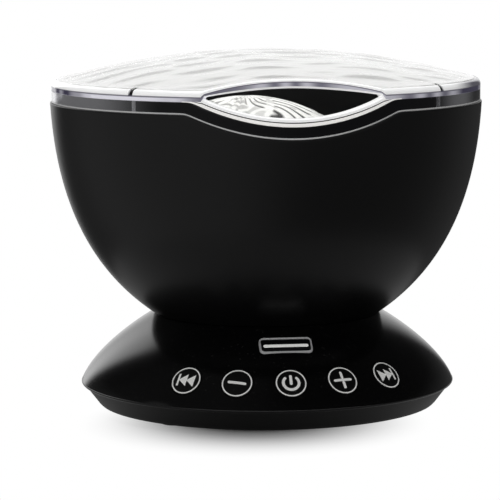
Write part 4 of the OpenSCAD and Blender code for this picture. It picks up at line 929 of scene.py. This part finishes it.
def dressBase(p):
    piece = addPiece("baseShell", baseShell(base), ["baseBlack"], "housing", "satin_black", "base_cover")
    combine(piece, *portBlock(p), "UNION")
    inner, outer = p["wallY"] - p["wall"] - p["over"], p["wallY"] + p["over"]
    middleZ, past = p["floorZ"] + p["height"] / 2, base["lipR"] + p["cutPast"]
    combine(piece, *portBox((p["width"], p["height"]), 0, middleZ, p["corner"], p["wallY"], past))
    for opening in p["openings"].values():
        combine(piece, *portBox(**opening, inner=inner, outer=outer))
    jack = circle(p["jackR"], p["jackColumns"]) + np.array([0, p["jackZ"]])
    combine(piece, *facingBack(*prism(jack, np.array([inner, outer]))))
    keyHole, keyFaces = prism(circle(keys["radius"] + keys["gap"], keys["columns"]), through)
    for place in keyPlaces:
        combine(piece, onBase(keyHole, place), keyFaces)
    wide, deep = (window[side] + 2 * window["gap"] for side in ("width", "depth"))
    points, faces = prism(roundedRect(wide, deep, window["corner"], 8), through)
    combine(piece, onBase(points, windowPlace), faces)
    smoothSide(piece.data, base)


def smoothSide(mesh, b):
    # corners that still lie on the turned side after the cuts take the curve's own normal, so gloss runs on
    sides = readMesh(mesh.polygons, "loop_total", 1, np.int32).ravel()
    flat = np.repeat(readMesh(mesh.polygons, "normal"), sides, axis=0)
    corners = readMesh(mesh.loops, "vertex_index", 1, np.int32).ravel()
    x, y, z = (readMesh(mesh.vertices, "co") / mm)[corners].T
    r = np.hypot(x, y)
    slope = baseSlope / np.linalg.norm(baseSlope, axis=1)[:, None]
    up, out = -np.interp(z, baseCurve[:, 1], slope[:, 0]), np.interp(z, baseCurve[:, 1], slope[:, 1])
    true = np.column_stack([out * x / r, out * y / r, up])
    onSide = np.abs(r - radiusAt(baseCurve, z)) < b["onSide"]
    onSide &= ((flat * true).sum(axis=1) > b["facing"]) & (z > b["lipZ"] + b["lipClear"])
    mesh.shade_smooth()
    mesh.set_sharp_from_angle(angle=math.radians(b["sharp"]))
    held = readMesh(mesh.corner_normals, "vector")
    mesh.normals_split_custom_set(np.where(onSide[:, None], true, held).tolist())


dressBase(ports)
print("base done")


# keys: turned caps with a soft crown, a printed ring and a symbol on each
def capHeight(r):
    return keys["proud"] - keys["crownBall"] + np.sqrt(keys["crownBall"] ** 2 - np.asarray(r) ** 2)


def keyCap(k):
    crownEnd = k["radius"] - k["edge"]
    crown = np.linspace(0, crownEnd, k["crownRows"])
    edgeMiddle = (crownEnd, float(capHeight(crownEnd)) - k["edge"])
    rim = arcPoints(edgeMiddle, k["edge"], k["edgeTurn"], 0, k["edgeRows"])
    low = k["back"] - k["flange"]
    stem = [[k["radius"], k["back"]], [k["flangeR"], k["back"]], [k["flangeR"], low], [k["stemR"], low],
            [k["stemR"], low - k["stem"]], [0, low - k["stem"]]]
    return lathe(np.concatenate([np.stack([crown, capHeight(crown)], axis=1), rim, stem]), k["columns"])


marks = dict(ink=0.05, ring=5.04, ringWidth=0.44, stroke=0.98, barLength=6.6, barTurn=-6, plusLength=6.8,
             powerR=2.7, powerGap=36, powerTop=3.1, powerFoot=-0.9, arrowWidth=2.85, arrowHeight=4.7,
             arrowTip=0.3, skipBar=0.72)


def stroke(path, width, across):
    # a ribbon of ink on the cap's crown: the path with points to each side, and both sides sunk in the cap
    half, ink = across * width[:, None] / 2, marks["ink"]
    lift = lambda p, h: np.column_stack([p, capHeight(np.hypot(p[:, 0], p[:, 1])) + h])
    top = [lift(path + share * half, ink) for share in (1, 0.5, 0, -0.5, -1)]
    lines = [lift(path + half, -ink), *top, lift(path - half, -ink)]
    return np.stack(lines, axis=1).reshape(-1, 3), gridFaces(len(path), len(lines), False, True)


def roundEnd(width, inset):
    # the width of a ribbon at this distance from its round end: the chord of a circle
    near = np.minimum(inset, width / 2)
    return 2 * np.sqrt(np.maximum((width / 2) ** 2 - (width / 2 - near) ** 2, 0))


def bar(start, stop, width, endWidth=None, roundEnds=True):
    # a straight ribbon: round at its ends, or cut square with its width running to another for an arrow
    start, stop = np.array(start, float), np.array(stop, float)
    length = np.linalg.norm(stop - start)
    along = (stop - start) / length
    if endWidth is None and roundEnds:
        cap = width / 2 * (1 - np.cos(np.linspace(0, 1, 7) * math.pi / 2))
        t = np.concatenate([cap, np.linspace(width / 2, length - width / 2, 12)[1:-1], length - cap[::-1]])
        wide = roundEnd(width, np.minimum(t, length - t))
    else:
        last = width if endWidth is None else endWidth
        share = np.concatenate([[0], np.linspace(0, 1, 8), [1]])
        t, wide = share * length, width + (last - width) * share
        wide[[0, -1]] = 0
    path = start + t[:, None] * along
    return stroke(path, wide, np.broadcast_to(np.array([-along[1], along[0]]), path.shape))


def arcStroke(radius, start, stop, width, closed=False):
    a = np.radians(np.linspace(start, stop, 90))
    path = radius * np.stack([np.cos(a), np.sin(a)], axis=1)
    wide = np.full(len(a), width) if closed else roundEnd(width, radius * np.minimum(a - a[0], a[-1] - a))
    return stroke(path, wide, path / radius)


def skipMark(way):
    wide, half, barWidth = marks["arrowWidth"], marks["arrowHeight"] / 2, marks["skipBar"]
    start = -way * (wide + barWidth / 2)
    tips = [start + way * wide, start + 2 * way * wide]
    arrows = [bar((tip - way * wide, 0), (tip, 0), marks["arrowHeight"], marks["arrowTip"]) for tip in tips]
    barX = tips[1] + way * barWidth / 2
    return arrows + [bar((barX, -half), (barX, half), barWidth, roundEnds=False)]


def powerMark():
    gap, wide = marks["powerGap"], marks["stroke"]
    return [arcStroke(marks["powerR"], 90 + gap, 450 - gap, wide),
            bar((0, marks["powerTop"]), (0, marks["powerFoot"]), wide)]


def plusMark():
    length, wide = marks["plusLength"] / 2, marks["stroke"]
    uprights = [bar((0, s * wide / 2), (0, s * length), wide) for s in (1, -1)]
    return [bar((-length, 0), (length, 0), wide)] + uprights


def minusMark():
    turn = math.radians(marks["barTurn"])
    end = marks["barLength"] / 2 * np.array([math.cos(turn), math.sin(turn)])
    return [bar(-end, end, marks["stroke"])]


symbols = dict(previous=skipMark(-1), minus=minusMark(), power=powerMark(), plus=plusMark(), next=skipMark(1))
capPoints = keyCap(keys)
ring = arcStroke(marks["ring"], 0, 360, marks["ringWidth"], closed=True)
for name, place in zip(keys["names"], keyPlaces):
    cap = gridMesh(onBase(capPoints, place))
    addPiece(name + "Cap", cap, ["keyBlack"], name + "_key", "button_black", "button_" + name)
    points, faces = joinArrays([ring] + symbols[name])
    mark = buildMesh(onBase(points, place), faces)
    addPiece(name + "Mark", mark, ["keyPrintGlowing"], name + "_key", "button_black")
print("keys done")


# receiver window: a slim raised frame, a smoked lens crowned up the slope, and a pale bar inside it that
# glows as a painted highlight across the lens
def windowOutline(w, inset):
    corner = max(w["corner"] - inset, w["leastCorner"])
    return roundedRect(w["width"] - 2 * inset, w["depth"] - 2 * inset, corner, 10)


def framePoints(w):
    # the frame's section (inset, height) carried round a rounded rectangle
    wide, proud = w["frameWidth"], w["proud"]
    shoulder = proud - w["bevelDrop"]
    section = [(0, w["back"]), (0, w["footRise"]), (w["outerBevel"], shoulder), (w["crest"], proud),
               (wide - w["innerBevel"], shoulder), (wide, proud - w["innerDrop"]), (wide, w["back"])]
    return np.stack([atHeight(windowOutline(w, inset), height) for inset, height in section])


def lensPoints(w):
    # outline shrunk towards its middle, its height falling with the square of the distance along the slope
    outline = windowOutline(w, w["frameWidth"] + w["lensGap"])
    flat = np.linspace(0, 1, w["lensRows"])[:, None, None] * outline[None]
    crown = w["proud"] - w["lensSink"] - w["bulge"] * (flat[..., 1] / (w["depth"] / 2)) ** 2
    back = [atHeight(outline, w["back"]), atHeight(0 * outline, w["back"])]
    return np.concatenate([np.dstack([flat, crown]), np.stack(back)])


highlightBar = dict(length=15.7, width=1.4, corner=0.65, top=0.34, foot=-0.2, bevel=0.15, down=0.5)


def highlightBarPoints(b):
    # a bar with a bevelled top: its outline shrunk at the top, full below, closed at the middle of both ends
    bevel = b["bevel"]
    full = roundedRect(b["length"], b["width"], b["corner"], 8)
    small = roundedRect(b["length"] - 2 * bevel, b["width"] - 2 * bevel, b["corner"] - bevel, 8)
    levels = [(0 * full, b["top"]), (small, b["top"]), (full, b["top"] - bevel), (full, b["foot"]),
              (0 * full, b["foot"])]
    return np.stack([atHeight(flat - np.array([0, b["down"]]), height) for flat, height in levels])


frameMesh = gridMesh(onBase(framePoints(window), windowPlace), wrapRows=True)
lensMesh = gridMesh(onBase(lensPoints(window), windowPlace))
barMesh = gridMesh(onBase(highlightBarPoints(highlightBar), windowPlace))
addPiece("windowFrame", frameMesh, ["bezelGrey"], "housing", "bezel_grey", "ir_bezel")
addPiece("windowLens", lensMesh, ["smokedLens"], "housing", "smoked_lens", "ir_window")
addPiece("windowBar", barMesh, ["highlightBar"], "housing", "smoked_lens", "ir_window")
print("window done")


# the solids that stay as they are take their finishes
finishNodes = dict(
    plateBlack="base_plate key_bracket",
    footRubber="rubber_feet",
    screwSteel="base_screws bracket_screws board_screws speaker_screws neck_screws deck_screws cup_screws "
               "motor_screws",
    epoxyBlack="ir_receiver tact_switches board_components audio_jack",
    boardGreen="key_boards main_board",
    socketSteel="usb_inlet card_socket",
    basketSteel="speaker_basket gear_motor",
    conePaper="speaker_cone",
    magnetIron="speaker_magnet",
    deckBlack="deck",
    whitePlastic="led_cup drive_pinion rotor_ring",
    boardWhite="led_board",
    lampClear="leds",
    shaftSteel="motor_shaft",
    wireSleeve="wire_loom",
    switchIvory="loom_plugs " + " ".join("plunger_" + name for name in keys["names"]))
for finishName, nodes in finishNodes.items():
    for node in nodes.split():
        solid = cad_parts[node]
        solid.data.materials.clear()
        solid.data.materials.append(finishes[finishName])
print("solids dressed")


# stage: a round pale floor that keeps the shadow, a dim room with cards behind and in front, and soft lamps
stage = dict(floorR=0.125, floorSteps=128, floorTone=0.9, floorMirror=0.35, shadowPlace=(-0.01, -0.04, 0),
             whiteRange=(0.012, 0.063))
room = dict(cardWay=(-0.9, -0.45, 0), cardRange=(0.15, 0.95), cardTones=(0.16, 0.5),
            overheadRange=(0.0, 0.35), overheadTones=(1.0, 0.2), cornerRange=(0.5, 0.9),
            cornerTones=(1.0, 0.45), backWay=(0, 1, 0), backRange=(0.9, 0.97), backLift=0.2,
            sideRange=(-0.34, -0.18), sideTones=(1.9, 1.0), overRange=(0.55, 0.8), frontRange=(0.3, 0.6),
            frontTones=(0.0, 3.2), frontFoot=(0.1, 0.18), frontTop=(0.22, 0.3))
lamps = dict(
    above=dict(place=(0.0, 0.4, 1.5), aim=(0, 0, 0.06), size=1.3, power=16.8),
    leftSide=dict(place=(-1.5, -0.3, 0.5), aim=(0, 0, 0.06), size=0.6, power=0.3))


def addFloor(s):
    # matt where the shadow falls and white further out, dimmer white where the object mirrors it
    steps = s["floorSteps"]
    mesh = bpy.data.meshes.new("floor")
    mesh.from_pydata(atHeight(circle(s["floorR"], steps), 0.0).tolist(), [], [list(range(steps))])
    newObject("floor", mesh)
    finish = bpy.data.materials.new("floorPale")
    finish.use_nodes = True
    tree = finish.node_tree
    tree.nodes.remove(tree.nodes["Principled BSDF"])
    away = vectorNode(tree, "DISTANCE", "Value", objectPlace(tree), s["shadowPlace"])
    far = ease(tree, away, *s["whiteRange"])
    path = addNode(tree, "ShaderNodeLightPath").outputs
    mirrored = mathNode(tree, "MAXIMUM", path["Is Glossy Ray"], path["Is Transmission Ray"])
    seen = mathNode(tree, "MAXIMUM", path["Is Camera Ray"], mirrored)
    matt = addNode(tree, "ShaderNodeBsdfDiffuse", {"Color": (s["floorTone"],) * 3 + (1,)}).outputs[0]
    strength = remap(tree, path["Is Camera Ray"], 0.0, 1.0, s["floorMirror"], 1.0)
    white = addNode(tree, "ShaderNodeEmission", {"Color": (1, 1, 1, 1), "Strength": strength}).outputs[0]
    mix = addNode(tree, "ShaderNodeMixShader", {0: multiply(tree, far, seen), 1: matt, 2: white}).outputs[0]
    tree.links.new(mix, tree.nodes["Material Output"].inputs["Surface"])
    mesh.materials.append(finish)


def setWorld(r):
    world = bpy.data.worlds.new("studio")
    world.use_nodes = True
    scene.world = world
    tree = world.node_tree
    way = addNode(tree, "ShaderNodeTexCoord").outputs["Generated"]
    up = axisParts(tree, way)[2]
    heading = vectorNode(tree, "NORMALIZE", 0, vectorNode(tree, "MULTIPLY", 0, way, (1, 1, 0)))
    backward = vectorNode(tree, "DOT_PRODUCT", "Value", heading, r["backWay"])
    # the card behind: wider higher up, gone overhead, brighter to the left
    lifted = mathNode(tree, "ADD", backward, multiply(tree, up, r["backLift"]))
    backTone = remap(tree, axisParts(tree, heading)[0], *r["sideRange"], *r["sideTones"])
    behind = multiply(tree, backTone, ease(tree, lifted, *r["backRange"]),
                      ease(tree, up, *r["overRange"], 1.0, 0.0))
    # the card in front: a low band with soft edges
    frontTone = remap(tree, multiply(tree, backward, -1.0), *r["frontRange"], *r["frontTones"])
    front = multiply(tree, frontTone, ease(tree, up, *r["frontFoot"]),
                     ease(tree, up, *r["frontTop"], 1.0, 0.0))
    # the room: paler at the left, darker overhead and in the far corners
    toCard = vectorNode(tree, "DOT_PRODUCT", "Value", heading, r["cardWay"])
    around = multiply(tree, ease(tree, toCard, *r["cardRange"], *r["cardTones"]),
                      remap(tree, up, *r["overheadRange"], *r["overheadTones"]),
                      remap(tree, backward, *r["cornerRange"], *r["cornerTones"]))
    tone = mathNode(tree, "MAXIMUM", mathNode(tree, "MAXIMUM", behind, front), around)
    # white to the camera, straight on and through clear plastic that nothing has mirrored or scattered before
    path = addNode(tree, "ShaderNodeLightPath").outputs
    bounces = mathNode(tree, "ADD", path["Glossy Depth"], path["Diffuse Depth"])
    straight = multiply(tree, path["Is Transmission Ray"], mathNode(tree, "LESS_THAN", bounces, 0.5))
    seen = mathNode(tree, "MAXIMUM", path["Is Camera Ray"], straight)
    unseen = mathNode(tree, "SUBTRACT", 1.0, seen)
    strength = mathNode(tree, "ADD", multiply(tree, tone, unseen), seen)
    tree.links.new(strength, tree.nodes["Background"].inputs["Strength"])
    tree.nodes["Background"].inputs["Color"].default_value = (1, 1, 1, 1)


def addLamp(name, place, aim, size, power):
    data = bpy.data.lights.new(name, "AREA")
    data.shape, data.size, data.energy = "DISK", size, power
    aimAt(newObject(name, data), Vector(place), Vector(aim))


addFloor(stage)
setWorld(room)
for name, lamp in lamps.items():
    addLamp(name, **lamp)
print("stage lit")
